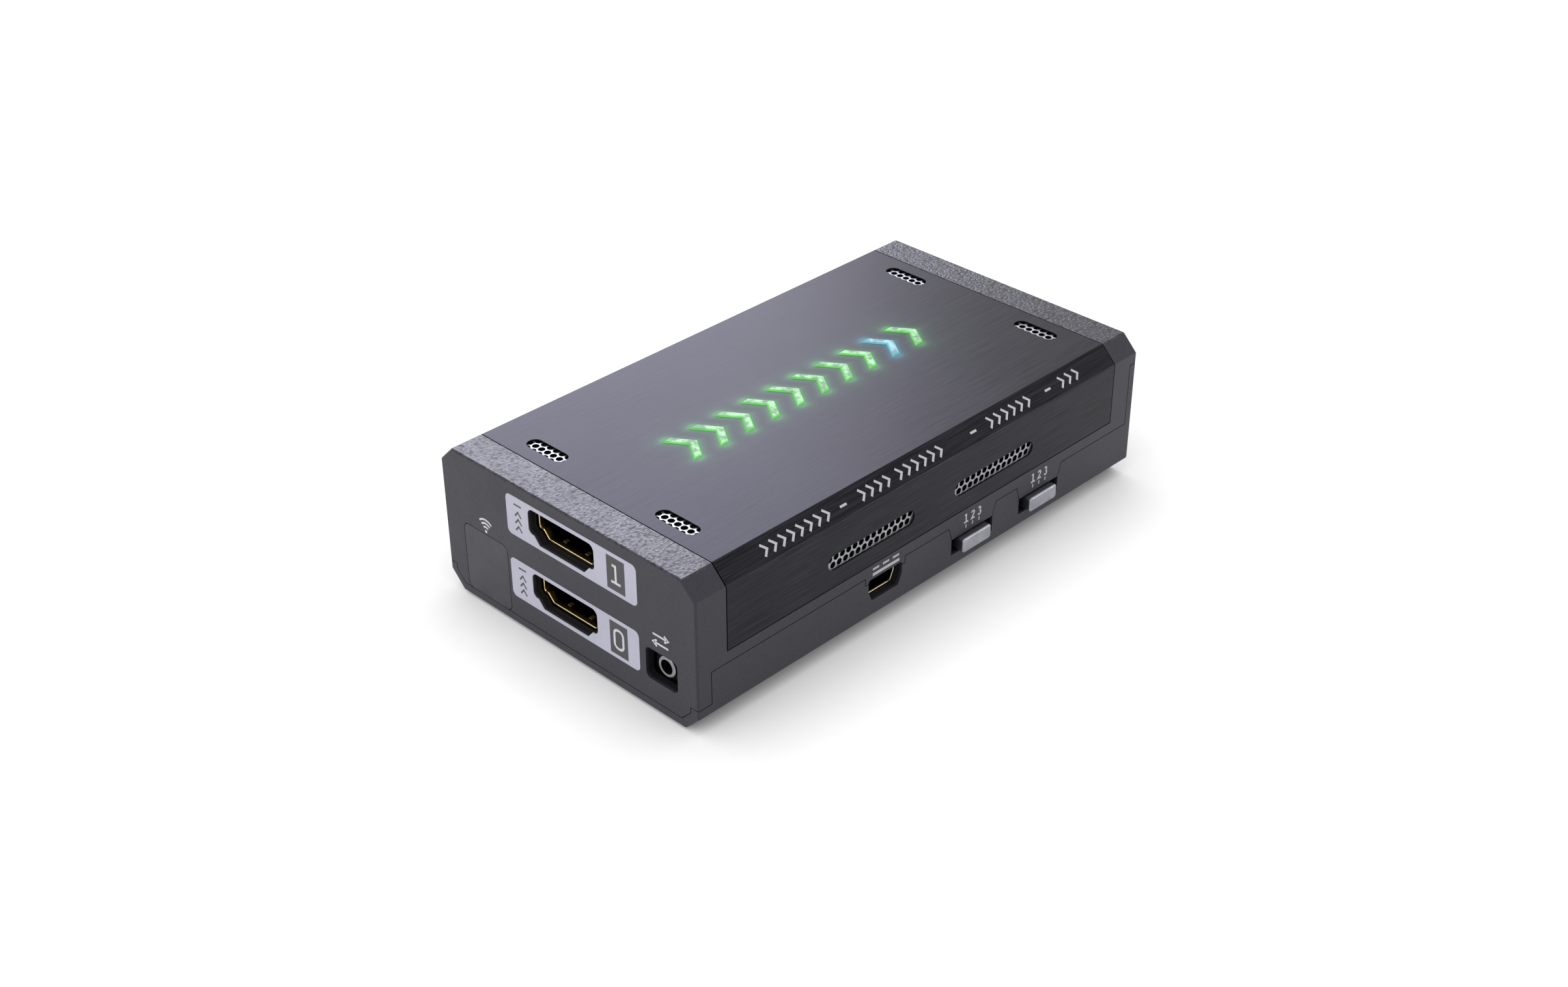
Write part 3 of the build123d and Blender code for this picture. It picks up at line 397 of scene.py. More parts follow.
def circuit_board():
    """Dark solder resist over copper tracks, with dots of bare metal where a track changes side."""
    finish = Finish("circuit_board", (0.01, 0.06, 0.03), 0.34)
    along, across = finish.axes()[:2]
    lengthwise = finish.fall(off_track(finish, across, 1.6), 0.13, 0.17)
    crosswise = finish.fall(off_track(finish, along, 2.1), 0.10, 0.14)
    choice = finish.rise(finish.noise(11.0, 1.0), 0.49, 0.51)
    lengthwise = finish.math("MULTIPLY", lengthwise, choice)
    crosswise = finish.math("MULTIPLY", crosswise, finish.math("SUBTRACT", 1.0, choice))
    tracks = finish.math("ADD", lengthwise, crosswise)
    resist = finish.mixed(tracks, (0.004, 0.014, 0.009), (0.009, 0.030, 0.017))
    pads = finish.fall(finish.cells(2.6), 0.11, 0.13)
    finish.tinted(pads, resist, (0.62, 0.55, 0.36))
    finish.set("Metallic", finish.math("MULTIPLY", pads, 0.9))
    finish.set("Roughness", finish.varied(finish.noise(1.4), 0.28, 0.42))
    finish.bump(tracks, 0.03, 0.6)
    return finish.material


def lit_inlay(name, dull, bright, rim):
    """Frosted plastic lit from below: patchy inside, and more strongly coloured at its edges."""
    finish = Finish(name, bright, 0.4)
    along, across = finish.axes()[:2]
    across = finish.math("ABSOLUTE", across)
    step = row_step(finish, along, across)
    offset = off_stroke(finish, step, finish.math("ROUND", step))
    edge = finish.rise(offset, CHEVRON_STROKE * 0.22, CHEVRON_STROKE * 0.5)
    edge = finish.math("MAXIMUM", edge, finish.rise(across, CHEVRON_HALF - 0.5, CHEVRON_HALF))
    frost = finish.noise(0.9, 4.0, 0.7)
    edge = finish.math("ADD", edge, finish.varied(frost, -0.3, 0.3), clamp=True)
    patches = finish.rise(finish.noise(1.6, 3.0, 0.6), 0.42, 0.58)
    color = finish.mixed(edge, finish.mixed(patches, dull, bright), rim)
    finish.tinted(0.75, color, (0.0, 0.0, 0.0))
    finish.set("Emission Color", color)
    finish.set("Emission Strength", finish.varied(frost, 0.85, 1.1))
    finish.set("Specular IOR Level", 0.2)
    finish.bump(frost, 0.03, 0.4)
    return finish.material


def rubber():
    """Soft dark rubber with a fine matt texture and a little dust."""
    finish = Finish("foot_rubber", (0.02, 0.02, 0.021), 0.75)
    dust = finish.noise(1.6, 5.0, 0.7)
    finish.tinted(finish.rise(dust, 0.4, 0.75), (0.016, 0.016, 0.017), (0.045, 0.044, 0.043))
    finish.set("Roughness", finish.varied(dust, 0.68, 0.84))
    finish.bump(finish.noise(0.25, 3.0), 0.02, 0.6)
    return finish.material


def printed(name, color):
    """Screen-printed ink, slightly uneven in its cover."""
    finish = Finish(name, color, 0.5)
    cover = finish.noise(0.5, 3.0, 0.6)
    thin = tuple(part * 0.88 for part in color)
    finish.tinted(finish.rise(cover, 0.3, 0.6), thin, color)
    finish.set("Roughness", finish.varied(cover, 0.45, 0.6))
    finish.bump(cover, 0.004, 0.5)
    return finish.material


finishes = {
    "cover_metal": brushed_cover(),
    "case_plastic": grained_plastic(),
    "label_plate": satin_label(),
    "window": window_plastic(),
    # The vent plates get painted shade deeper than 0.43 mm
    "vent_mesh": metal(
        "vent_plate", (0.33, 0.33, 0.355), (0.46, 0.46, 0.49), 0.34, 1.4, 0.006,
        metallic=0.85, shade=(0.43, 0.48),
    ),
    # The socket gold gets painted shade deeper than 2.3 mm inside the sockets
    "socket_gold": metal(
        "socket_gilding", (0.50, 0.31, 0.085), (0.78, 0.54, 0.19), 0.27, 2.2, 0.01, shade=(2.3, 3.1)
    ),
    "socket_black": plain_plastic("socket_resin", (0.012, 0.012, 0.013), (0.022, 0.021, 0.022), 0.4),
    "jack_ring": metal("jack_plating", (0.22, 0.22, 0.24), (0.34, 0.34, 0.37), 0.24, 1.6, 0.006),
    "knob_silver": metal(
        "satin_knob", (0.27, 0.27, 0.305), (0.38, 0.38, 0.425), 0.34, 1.8, 0.008, speckle=0.25
    ),
    "tin": metal("tin_plate", (0.55, 0.54, 0.52), (0.76, 0.75, 0.72), 0.28, 1.2, 0.006),
    "light_green": lit_inlay(
        "green_light_guide", (0.17, 0.30, 0.19), (0.40, 0.78, 0.42), (0.13, 0.56, 0.10)
    ),
    "light_cyan": lit_inlay(
        "cyan_light_guide", (0.17, 0.29, 0.33), (0.34, 0.64, 0.74), (0.11, 0.42, 0.52)
    ),
    "board": circuit_board(),
    "led": plain_plastic("led_resin", (0.70, 0.72, 0.62), (0.86, 0.88, 0.78), 0.3),
    "chip": plain_plastic("chip_resin", (0.014, 0.014, 0.015), (0.026, 0.026, 0.028), 0.55, 0.4, 0.008),
    "heat_sink": metal("sink_aluminium", (0.14, 0.14, 0.15), (0.24, 0.24, 0.26), 0.4, 3.0, 0.01),
    "pad": plain_plastic("thermal_pad", (0.22, 0.24, 0.27), (0.30, 0.32, 0.36), 0.8, 0.5, 0.02),
    "steel": metal("screw_steel", (0.10, 0.10, 0.105), (0.20, 0.20, 0.21), 0.3, 1.0, 0.008),
    "rubber": rubber(),
    "can_metal": metal("can_steel", (0.48, 0.48, 0.50), (0.70, 0.70, 0.72), 0.3, 1.8, 0.008),
    "coil": plain_plastic("coil_resin", (0.055, 0.055, 0.058), (0.09, 0.09, 0.095), 0.6, 0.6, 0.02),
    "ceramic": plain_plastic("ceramic_body", (0.30, 0.22, 0.13), (0.44, 0.33, 0.20), 0.45, 0.6, 0.008),
}
# The power shell's gold gets painted shade deeper than 1.65 mm inside its socket
POWER_GILDING = metal(
    "power_gilding", (0.42, 0.33, 0.18), (0.62, 0.52, 0.32), 0.27, 2.2, 0.01, shade=(1.65, 2.3)
)
# Paler copies of the socket golds for the shells' front lips: a painted highlight over the real gleam of
# their rounded edges
HIGHLIT_LIP_GOLD = metal("lip_gold_painted_highlight", (0.74, 0.56, 0.24), (0.92, 0.76, 0.40), 0.24, 0.9, 0.004)
HIGHLIT_POWER_LIP = metal("power_lip_painted_highlight", (0.52, 0.46, 0.32), (0.70, 0.64, 0.48), 0.26, 0.9, 0.004)
PAD_GILDING = metal("pad_gilding", (0.62, 0.50, 0.32), (0.80, 0.68, 0.46), 0.4, 0.5, 0.004)
PALE_INK = printed("pale_ink", (0.64, 0.64, 0.69))
DARK_INK = printed("dark_ink", (0.060, 0.058, 0.068))
WHITE_INK = printed("white_ink", (0.74, 0.74, 0.78))

for row in frame["record"]["subparts"]:
    shown = nodes[row["node"]].data.materials
    shown.clear()
    shown.append(finishes[row["material_slot"]])
nodes["power_shell"].data.materials[0] = POWER_GILDING

# How thick printed ink is, and how much of it lies under the surface that it is printed on
INK_THICK = 0.03
INK_SUNK = 0.015

# How near two points of a mark are made one, and the limit that keeps sharp mitres short
WELD = 0.002
MITRE_LIMIT = 0.35


# How the added pieces are placed and made
def placing(origin, right, up):
    """Where a flat mark lies: its middle in millimetres, and its own right and up."""
    right = Vector(right).normalized()
    up = Vector(up).normalized()
    turn = Matrix((right, up, right.cross(up))).transposed().to_4x4()
    return Matrix.Translation(Vector(origin) * MM) @ turn


def input_end(across, height, proud=0.0):
    """On the input end, looked at from outside."""
    return placing((-HALF_LENGTH - proud, across, height), (0, -1, 0), (0, 0, 1))


def near_side(along, height, proud=0.0):
    """On the long side with the switches, looked at from outside."""
    return placing((along, -HALF_WIDTH - proud, height), (1, 0, 0), (0, 0, 1))


def near_bevel(along, up):
    """On the bevel over that side: along the case, and up the slope from its middle line."""
    across = -HALF_WIDTH + BEVEL / 2
    height = CASE_TOP - BEVEL / 2
    return placing((along, across + up * SLOPE, height + up * SLOPE), (1, 0, 0), (0, 1, 1))


def closed_mesh(shape, name):
    """The shape as a plain mesh whose faces look outwards."""
    bmesh.ops.recalc_face_normals(shape, faces=shape.faces)
    mesh = bpy.data.meshes.new(name)
    shape.to_mesh(mesh)
    shape.free()
    return mesh


def flat_mesh(faces, thick=INK_THICK, sunk=INK_SUNK):
    """A thin solid of the given flat faces, each a list of points in millimetres."""
    shape = bmesh.new()
    for face in faces:
        shape.faces.new([shape.verts.new((x * MM, y * MM, -sunk * MM)) for x, y in face])
    bmesh.ops.remove_doubles(shape, verts=shape.verts, dist=WELD * MM)
    raised = bmesh.ops.extrude_face_region(shape, geom=list(shape.faces))["geom"]
    tops = [item for item in raised if isinstance(item, bmesh.types.BMVert)]
    bmesh.ops.translate(shape, verts=tops, vec=(0, 0, thick * MM))
    return closed_mesh(shape, "mark")


def ribbon(points, width, closed=False):
    """Faces of a line of even width through the points, with mitred corners."""
    points = [Vector(point) for point in points]
    count = len(points)
    sides = []
    for index, point in enumerate(points):
        before = points[index - 1] if index or closed else None
        after = points[(index + 1) % count] if index < count - 1 or closed else None
        into = (point - before).normalized() if before is not None else (after - point).normalized()
        out = (after - point).normalized() if after is not None else into
        normal = Vector((-(into + out).y, (into + out).x)).normalized()
        reach = width / 2 / max(normal.dot(Vector((-into.y, into.x))), MITRE_LIMIT)
        sides.append((point + normal * reach, point - normal * reach))
    faces = []
    for index in range(count if closed else count - 1):
        left, right = sides[index]
        next_left, next_right = sides[(index + 1) % count]
        faces.append([tuple(right), tuple(next_right), tuple(next_left), tuple(left)])
    return faces


def box_face(x, y, width, height):
    """One rectangle about x, y."""
    return [
        (x - width / 2, y - height / 2),
        (x + width / 2, y - height / 2),
        (x + width / 2, y + height / 2),
        (x - width / 2, y + height / 2),
    ]


def box_mesh(width, height):
    """A thin solid rectangle."""
    return flat_mesh([box_face(0, 0, width, height)])


def arc(x, y, radius, start, end, steps):
    """Points on an arc about x, y, from start to end in degrees."""
    turns = [radians(start + (end - start) * step / steps) for step in range(steps + 1)]
    return [(x + radius * cos(turn), y + radius * sin(turn)) for turn in turns]


def number_faces(number, height, stroke):
    """The faces of a plain number from 0 to 3, height millimetres tall, about its own middle."""
    half = height / 2
    side = height * 0.29
    foot = stroke / 2 - half
    if number == 0:
        corner = side * 0.85
        ring = []
        for x, y, start in (
            (side - corner, half - corner, 0),
            (corner - side, half - corner, 90),
            (corner - side, corner - half, 180),
            (side - corner, corner - half, 270),
        ):
            ring += arc(x, y, corner, start, start + 90, 6)
        return ribbon(ring, stroke, True)
    if number == 1:
        flag = half - stroke * 0.5
        stem = ribbon([(-side * 0.75, flag), (0.0, flag), (0.0, stroke - half)], stroke)
        return stem + [box_face(0.0, foot, side * 2.1, stroke)]
    if number == 2:
        bow = arc(0, half - side, side - stroke / 2, 165, -20, 12)
        return ribbon(bow + [(-side + stroke * 0.6, foot), (side, foot)], stroke)
    upper = ribbon(arc(0, half / 2, half / 2 - stroke / 2, 150, -90, 14), stroke)
    lower = ribbon(arc(0, -half / 2 + stroke * 0.25, half / 2 - stroke * 0.25, 90, -150, 14), stroke)
    return upper + lower


def named_tree(name, inputs):
    """A geometry nodes tree with the named inputs, and the node that gives them."""
    tree = bpy.data.node_groups.new(name, "GeometryNodeTree")
    for label, kind in inputs:
        tree.interface.new_socket(label, in_out="INPUT", socket_type=f"NodeSocket{kind}")
    tree.interface.new_socket("Result", in_out="OUTPUT", socket_type="NodeSocketGeometry")
    return tree, tree.nodes.new("NodeGroupInput")


def joined_tree(tree, given, links, last):
    """The tree joined up: after its last node the copies are made real and get their finish."""
    real = tree.nodes.new("GeometryNodeRealizeInstances")
    finish = tree.nodes.new("GeometryNodeSetMaterial")
    result = tree.nodes.new("NodeGroupOutput")
    for start, end in (
        *links,
        (last.outputs[0], real.inputs[0]),
        (real.outputs[0], finish.inputs["Geometry"]),
        (given.outputs["Finish"], finish.inputs["Material"]),
        (finish.outputs[0], result.inputs[0]),
    ):
        tree.links.new(start, end)
    return tree


def row_tree():
    """Geometry nodes that set copies of a piece in a row."""
    inputs = (("Piece", "Geometry"), ("Count", "Int"), ("Step", "Vector"), ("Finish", "Material"))
    tree, given = named_tree("pieces_in_a_row", inputs)
    line = tree.nodes.new("GeometryNodeMeshLine")
    copies = tree.nodes.new("GeometryNodeInstanceOnPoints")
    links = (
        (given.outputs["Count"], line.inputs["Count"]),
        (given.outputs["Step"], line.inputs["Offset"]),
        (line.outputs[0], copies.inputs["Points"]),
        (given.outputs["Piece"], copies.inputs["Instance"]),
    )
    return joined_tree(tree, given, links, copies)


def lip_tree():
    """Geometry nodes that lay a round lip of one radius along a closed line of points."""
    inputs = (("Line", "Geometry"), ("Radius", "Float"), ("Finish", "Material"))
    tree, given = named_tree("lip_on_a_line", inputs)
    line = tree.nodes.new("GeometryNodeMeshToCurve")
    section = tree.nodes.new("GeometryNodeCurvePrimitiveCircle")
    section.inputs["Resolution"].default_value = 8
    swept = tree.nodes.new("GeometryNodeCurveToMesh")
    links = (
        (given.outputs["Line"], line.inputs["Mesh"]),
        (given.outputs["Radius"], section.inputs["Radius"]),
        (line.outputs[0], swept.inputs["Curve"]),
        (section.outputs[0], swept.inputs["Profile Curve"]),
    )
    return joined_tree(tree, given, links, swept)


ROW_TREE = row_tree()
LIP_TREE = lip_tree()


def made_by(tree, mesh, values):
    """The plain mesh that a tree makes of the given mesh, with its other inputs set by name."""
    holder = bpy.data.objects.new(tree.name, mesh)
    bpy.context.scene.collection.objects.link(holder)
    modifier = holder.modifiers.new(tree.name, "NODES")
    modifier.node_group = tree
    for item in tree.interface.items_tree:
        if item.name in values:
            modifier[item.identifier] = values[item.name]
    ready = holder.evaluated_get(bpy.context.evaluated_depsgraph_get())
    made = bpy.data.meshes.new_from_object(ready)
    bpy.data.objects.remove(holder)
    return made


def in_a_row(mesh, count, step, finish):
    """A plain mesh of count copies of the given one, each a step in millimetres further on."""
    step = [part * MM for part in step]
    return made_by(ROW_TREE, mesh, {"Count": count, "Step": step, "Finish": finish})


def lip(points, radius, finish):
    """A plain mesh of a round lip along the closed line of points, in millimetres."""
    line = bpy.data.meshes.new("line")
    count = len(points)
    edges = [(index, (index + 1) % count) for index in range(count)]
    line.from_pydata([(x * MM, y * MM, 0) for x, y in points], edges, [])
    made = made_by(LIP_TREE, line, {"Radius": radius * MM, "Finish": finish})
    for polygon in made.polygons:
        polygon.use_smooth = True
    return made


def gathered(parts):
    """One mesh of several, each moved by its own matrix."""
    shape = bmesh.new()
    for mesh, matrix in parts:
        before = len(shape.verts)
        shape.from_mesh(mesh)
        shape.verts.ensure_lookup_table()
        bmesh.ops.transform(shape, matrix=matrix, verts=shape.verts[before:])
    joined = bpy.data.meshes.new("gathered")
    shape.to_mesh(joined)
    shape.free()
    return joined


def piece(name, parts, finish, body="case"):
    """Show the gathered parts as a piece of the object, riding on its body."""
    mesh = gathered(parts)
    mesh.name = name
    mesh.materials.clear()
    mesh.materials.append(finish)
    for polygon in mesh.polygons:
        polygon.material_index = 0
    made = bpy.data.objects.new(name, mesh)
    bpy.context.scene.collection.objects.link(made)
    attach(made, body)


# Marks on the label plates of both ends: a boxed number, and a row of arrows with a bar
ENDS = (("input", Matrix.Identity(4)), ("output", Matrix.Rotation(pi, 4, "Z")))
LABEL_PROUD = LABEL_FACE - HALF_LENGTH
NUMBER_BOX = (4.1, 6.1)
NUMBER_ACROSS = -12.45
NUMBER_TALL = 3.5
NUMBER_STROKE = 0.46
NUMBER_PROUD = 0.012
ARROW_LINE = ((-0.75, -0.45), (0.0, 0.45), (0.75, -0.45))
ARROW_STROKE = 0.30
ARROW_COUNT = 3
ARROW_PITCH = 1.35
ARROW_ACROSS = 10.6
ARROW_DROP = 2.1
BAR_SIZE = (1.8, 0.30)
BAR_RISE = 2.3

number_box = box_mesh(*NUMBER_BOX)
arrow = flat_mesh(ribbon(ARROW_LINE, ARROW_STROKE))
arrow_row = in_a_row(arrow, ARROW_COUNT, (0, ARROW_PITCH, 0), DARK_INK)
bar = box_mesh(*BAR_SIZE)
boxes = []
numbers = []
arrows = []
for number, height in enumerate(PORT_HEIGHTS):
    middle = input_end(NUMBER_ACROSS, height, LABEL_PROUD)
    boxes.append((number_box, middle))
    digit = flat_mesh(number_faces(number, NUMBER_TALL, NUMBER_STROKE))
    numbers.append((digit, middle @ Matrix.Translation((0, 0, NUMBER_PROUD * MM))))
    arrows.append((arrow_row, input_end(ARROW_ACROSS, height - ARROW_DROP, LABEL_PROUD)))
    arrows.append((bar, input_end(ARROW_ACROSS, height + BAR_RISE, LABEL_PROUD)))

for end, turn in ENDS:
    for name, parts, ink, slot in (
        ("number_boxes", boxes, DARK_INK, "case_plastic"),
        ("numbers", numbers, WHITE_INK, "label_plate"),
        ("arrows", arrows, DARK_INK, "case_plastic"),
    ):
        turned = [(mesh, turn @ matrix) for mesh, matrix in parts]
        piece(f"{end}_{name}", turned, ink)

# Waves over the infrared window, and a pair of arrows over the serial jack
WAVES_ACROSS = 19.4
WAVES_HEIGHT = 16.2
WAVE_FOOT = -0.75
WAVE_DOT = 0.5
WAVE_RADII = (0.85, 1.55, 2.25)
WAVE_ANGLES = (48, 132)
WAVE_STEPS = 12
WAVE_STROKE = 0.34
SERIAL_HEIGHT = 14.4
SERIAL_APART = 0.75
SERIAL_REACH = 1.7
SERIAL_NECK = 1.5
SERIAL_BACK = 0.85
SERIAL_SPREAD = 0.6
SERIAL_STROKE = 0.36

waves = [box_face(0, WAVE_FOOT, WAVE_DOT, WAVE_DOT)]
for radius in WAVE_RADII:
    waves += ribbon(arc(0, WAVE_FOOT, radius, *WAVE_ANGLES, WAVE_STEPS), WAVE_STROKE)
waves_place = input_end(WAVES_ACROSS, WAVES_HEIGHT)
piece("window_waves", [(flat_mesh(waves), waves_place)], WHITE_INK)

both_ways = []
for height, side in ((SERIAL_APART, 1), (-SERIAL_APART, -1)):
    tail = (-SERIAL_REACH * side, height)
    neck = (SERIAL_NECK * side, height)
    tip = (SERIAL_REACH * side, height)
    above = (SERIAL_BACK * side, height + SERIAL_SPREAD)
    below = (SERIAL_BACK * side, height - SERIAL_SPREAD)
    both_ways += ribbon([tail, neck], SERIAL_STROKE)
    both_ways += ribbon([above, tip, below], SERIAL_STROKE)
serial_place = input_end(JACK_ACROSS, SERIAL_HEIGHT)
piece("serial_arrows", [(flat_mesh(both_ways), serial_place)], WHITE_INK)

# Marks on the long side: ticks and numbers over the switches, dashes and a bar over the power socket
SWITCH_NUMBERS = (1, 2, 3)
SWITCH_NUMBER_TALL = 1.75
SWITCH_NUMBER_STROKE = 0.32
SWITCH_NUMBER_HEIGHT = 11.3
TICK_SIZE = (0.22, 0.7)
TICK_HEIGHT = 9.75
TICK_PITCH = 1.7
POWER_BAR_SIZE = (6.4, 0.54)
POWER_BAR_PLACE = (-11.7, 11.19)
POWER_DASH_SIZE = (1.5, 0.38)
POWER_DASH_PLACE = (-14.16, 12.23)
POWER_DASH_COUNT = 3
POWER_DASH_PITCH = 2.4

tick = box_mesh(*TICK_SIZE)
ticks = in_a_row(tick, len(SWITCH_NUMBERS), (TICK_PITCH, 0, 0), PALE_INK)
side_marks = []
for place in SWITCH_PLACES:
    side_marks.append((ticks, near_side(place - TICK_PITCH, TICK_HEIGHT)))
    for index, number in enumerate(SWITCH_NUMBERS):
        digit = flat_mesh(number_faces(number, SWITCH_NUMBER_TALL, SWITCH_NUMBER_STROKE))
        side_marks.append((digit, near_side(place + (index - 1) * TICK_PITCH, SWITCH_NUMBER_HEIGHT)))
dash = box_mesh(*POWER_DASH_SIZE)
dashes = in_a_row(dash, POWER_DASH_COUNT, (POWER_DASH_PITCH, 0, 0), PALE_INK)
side_marks.append((dashes, near_side(*POWER_DASH_PLACE)))
side_marks.append((box_mesh(*POWER_BAR_SIZE), near_side(*POWER_BAR_PLACE)))
piece("side_marks", side_marks, PALE_INK)

# Row of small chevrons and dashes along the cover's bevel: where each group starts and its count
STRIP_GROUPS = ((-38.0, 8), (-16.2, 4), (-7.4, 6), (15.2, 6), (34.2, 3))
STRIP_DASHES = (-20.6, 10.8, 30.4)
STRIP_PITCH = 1.95
STRIP_UP = -0.1
STRIP_LINE = ((-0.48, 1.0), (0.48, 0.0), (-0.48, -1.0))
STRIP_STROKE = 0.42
STRIP_DASH_SIZE = (1.5, 0.4)

small_chevron = flat_mesh(ribbon(STRIP_LINE, STRIP_STROKE))
strip_dash = box_mesh(*STRIP_DASH_SIZE)
strip = []
for start, count in STRIP_GROUPS:
    group = in_a_row(small_chevron, count, (STRIP_PITCH, 0, 0), PALE_INK)
    strip.append((group, near_bevel(start, STRIP_UP)))
for along in STRIP_DASHES:
    strip.append((strip_dash, near_bevel(along, STRIP_UP)))
piece("bevel_marks", strip, PALE_INK)

# Bright rims round the holes of the vent plates
RIM_THICK = 0.1
RIM_SIDES = 12
RIM_AROUND = 4


def rim_mesh(radius):
    """A small ring that lies flat, half sunk in the plate it stands on."""
    shape = bmesh.new()
    loops = []
    for side in range(RIM_SIDES):
        turn = 2 * pi * side / RIM_SIDES
        loop = []
        for step in range(RIM_AROUND):
            roll = 2 * pi * step / RIM_AROUND
            reach = radius + RIM_THICK / 2 * cos(roll)
            lift = RIM_THICK / 2 * sin(roll)
            loop.append(shape.verts.new((reach * cos(turn) * MM, reach * sin(turn) * MM, lift * MM)))
        loops.append(loop)
    for side in range(RIM_SIDES):
        here, there = loops[side], loops[(side + 1) % RIM_SIDES]
        for step in range(RIM_AROUND):
            ahead = (step + 1) % RIM_AROUND
            shape.faces.new((here[step], there[step], there[ahead], here[ahead])).smooth = True
    return closed_mesh(shape, "rim")


def vent_rims(name, length, heights, places):
    """Rims round every hole of the plates at the given places, whose rows stand at the given heights."""
    rim = rim_mesh(MESH_HOLE / 2 + RIM_THICK * 0.4)
    steps = int(length / MESH_PITCH)
    rows = []
    for index, height in enumerate(heights):
        holes = steps + (steps + index) % 2
        row = in_a_row(rim, holes, (MESH_PITCH, 0, 0), finishes["vent_mesh"])
        start = (-(holes - 1) * MESH_PITCH / 2 * MM, height * MESH_RISE * MM, 0)
        rows.append((row, Matrix.Translation(start)))
    parts = [(row, place @ start) for place in places for row, start in rows]
    piece(name, parts, finishes["vent_mesh"])


top_places = [
    placing((along, across, COVER_UNDER), (0, 1, 0), (-1, 0, 0))
    for along in (-TOP_VENT_ALONG, TOP_VENT_ALONG)
    for across in (-TOP_VENT_ACROSS, TOP_VENT_ACROSS)
]
vent_rims("top_vent_rims", TOP_VENT_LENGTH, TOP_ROWS, top_places)
for name, side in (("near_vent_rims", -1), ("far_vent_rims", 1)):
    across = side * (HALF_WIDTH - COVER_SHEET)
    side_places = [
        placing((along, across, SIDE_VENT_HEIGHT), (-side, 0, 0), (0, 0, 1))
        for along in (-SIDE_VENT_ALONG, SIDE_VENT_ALONG)
    ]
    vent_rims(name, SIDE_VENT_LENGTH, SIDE_ROWS, side_places)

# Lips on the front edges of the metal shells, in a paler gold than the shells as a painted highlight, and
# springs and catch pads in the video sockets
PORT_LIP = 0.17
PORT_FRONT = 1.95
PORT_INSIDE = 2.45
POWER_LIP = 0.11
POWER_FRONT = 1.6
PAD_SIZE = (0.75, 0.85)
PAD_THICK = 0.1
PAD_SUNK = 0.02
PAD_ACROSS = 2.6
PAD_DEPTH = 3.35
SPRING_DEPTH = 4.2
SPRING_WIDTH = 1.3
SPRING_LENGTH = 4.2
SPRING_RISE = 0.42
SPRING_SHEET = 0.12
SPRING_SUNK = 0.03
SPRING_TAPER = 0.25
SPRING_STEPS = 8
LIP_STEPS = 5


def rounded(corners, radii):
    """The points of an outline with each corner rounded by its own radius."""
    points = []
    for index, corner in enumerate(corners):
        here = Vector(corner)
        into = (here - Vector(corners[index - 1])).normalized()
        out = (Vector(corners[(index + 1) % len(corners)]) - here).normalized()
        half_turn = into.angle(out) / 2
        back = radii[index] * sin(half_turn) / cos(half_turn)
        start, end = here - into * back, here + out * back
        for step in range(LIP_STEPS + 1):
            share = step / LIP_STEPS
            points.append(start.lerp(here, share).lerp(here.lerp(end, share), share))
    return points


def port_line():
    """The middle line of a video shell's front edge, about the socket's middle."""
    half, top, low = 7.35, 2.6, -2.6
    shoulder, step, foot = 1.33, 1.02, 0.2
    radii = (0.3, 0.3, 0.55, 0.75)
    right = [
        (half - 2 * step - foot, low),
        (half - step, low + shoulder),
        (half, low + shoulder),
        (half, top),
    ]
    left = [(-x, y) for x, y in reversed(right)]
    return rounded(right + left, radii + radii[::-1])


def power_line():
    """The middle line of the power shell's front edge, about the socket's middle."""
    half, top, low = 3.725, 1.785, -1.785
    slant, shoulder = 0.86, 1.86
    right = [(half - slant, low), (half, low + shoulder), (half, top)]
    left = [(-x, y) for x, y in reversed(right)]
    return rounded(right + left, (0.3,) * 6)


def spring_mesh():
    """A leaf spring in a socket's wall: it rises into the socket and falls back."""
    shape = bmesh.new()
    rows = []
    for step in range(SPRING_STEPS + 1):
        run = step / SPRING_STEPS
        half = SPRING_WIDTH / 2 * (1 - SPRING_TAPER * run)
        top = SPRING_RISE * sin(pi * min(run * 1.15, 1.0)) - SPRING_SUNK
        low = top - SPRING_SHEET
        along = run * SPRING_LENGTH * MM
        section = ((-half, top), (half, top), (half, low), (-half, low))
        rows.append([shape.verts.new((x * MM, along, z * MM)) for x, z in section])
    for here, there in zip(rows, rows[1:]):
        for index in range(4):
            ahead = (index + 1) % 4
            shape.faces.new((here[index], here[ahead], there[ahead], there[index]))
    shape.faces.new(rows[0])
    shape.faces.new(rows[-1])
    return closed_mesh(shape, "spring")


spring = spring_mesh()
catch_pad = flat_mesh([box_face(0, 0, *PAD_SIZE)], PAD_THICK, PAD_SUNK)
port_lip = lip(port_line(), PORT_LIP, HIGHLIT_LIP_GOLD)
for end, turn in ENDS:
    springs = []
    pads = []
    lips = []
    for height in PORT_HEIGHTS:
        lips.append((port_lip, turn @ input_end(PORT_ACROSS, height, -PORT_FRONT)))
        for across in (PORT_ACROSS - PAD_ACROSS, PORT_ACROSS + PAD_ACROSS):
            for level, up in ((height - PORT_INSIDE, 1), (height + PORT_INSIDE, -1)):
                for mesh, depth, parts in ((spring, SPRING_DEPTH, springs), (catch_pad, PAD_DEPTH, pads)):
                    origin = (-HALF_LENGTH + depth, across, level)
                    parts.append((mesh, turn @ placing(origin, (0, -up, 0), (1, 0, 0))))
    piece(f"{end}_socket_springs", springs, finishes["socket_gold"])
    piece(f"{end}_socket_pads", pads, PAD_GILDING)
    piece(f"{end}_socket_lips", lips, HIGHLIT_LIP_GOLD)

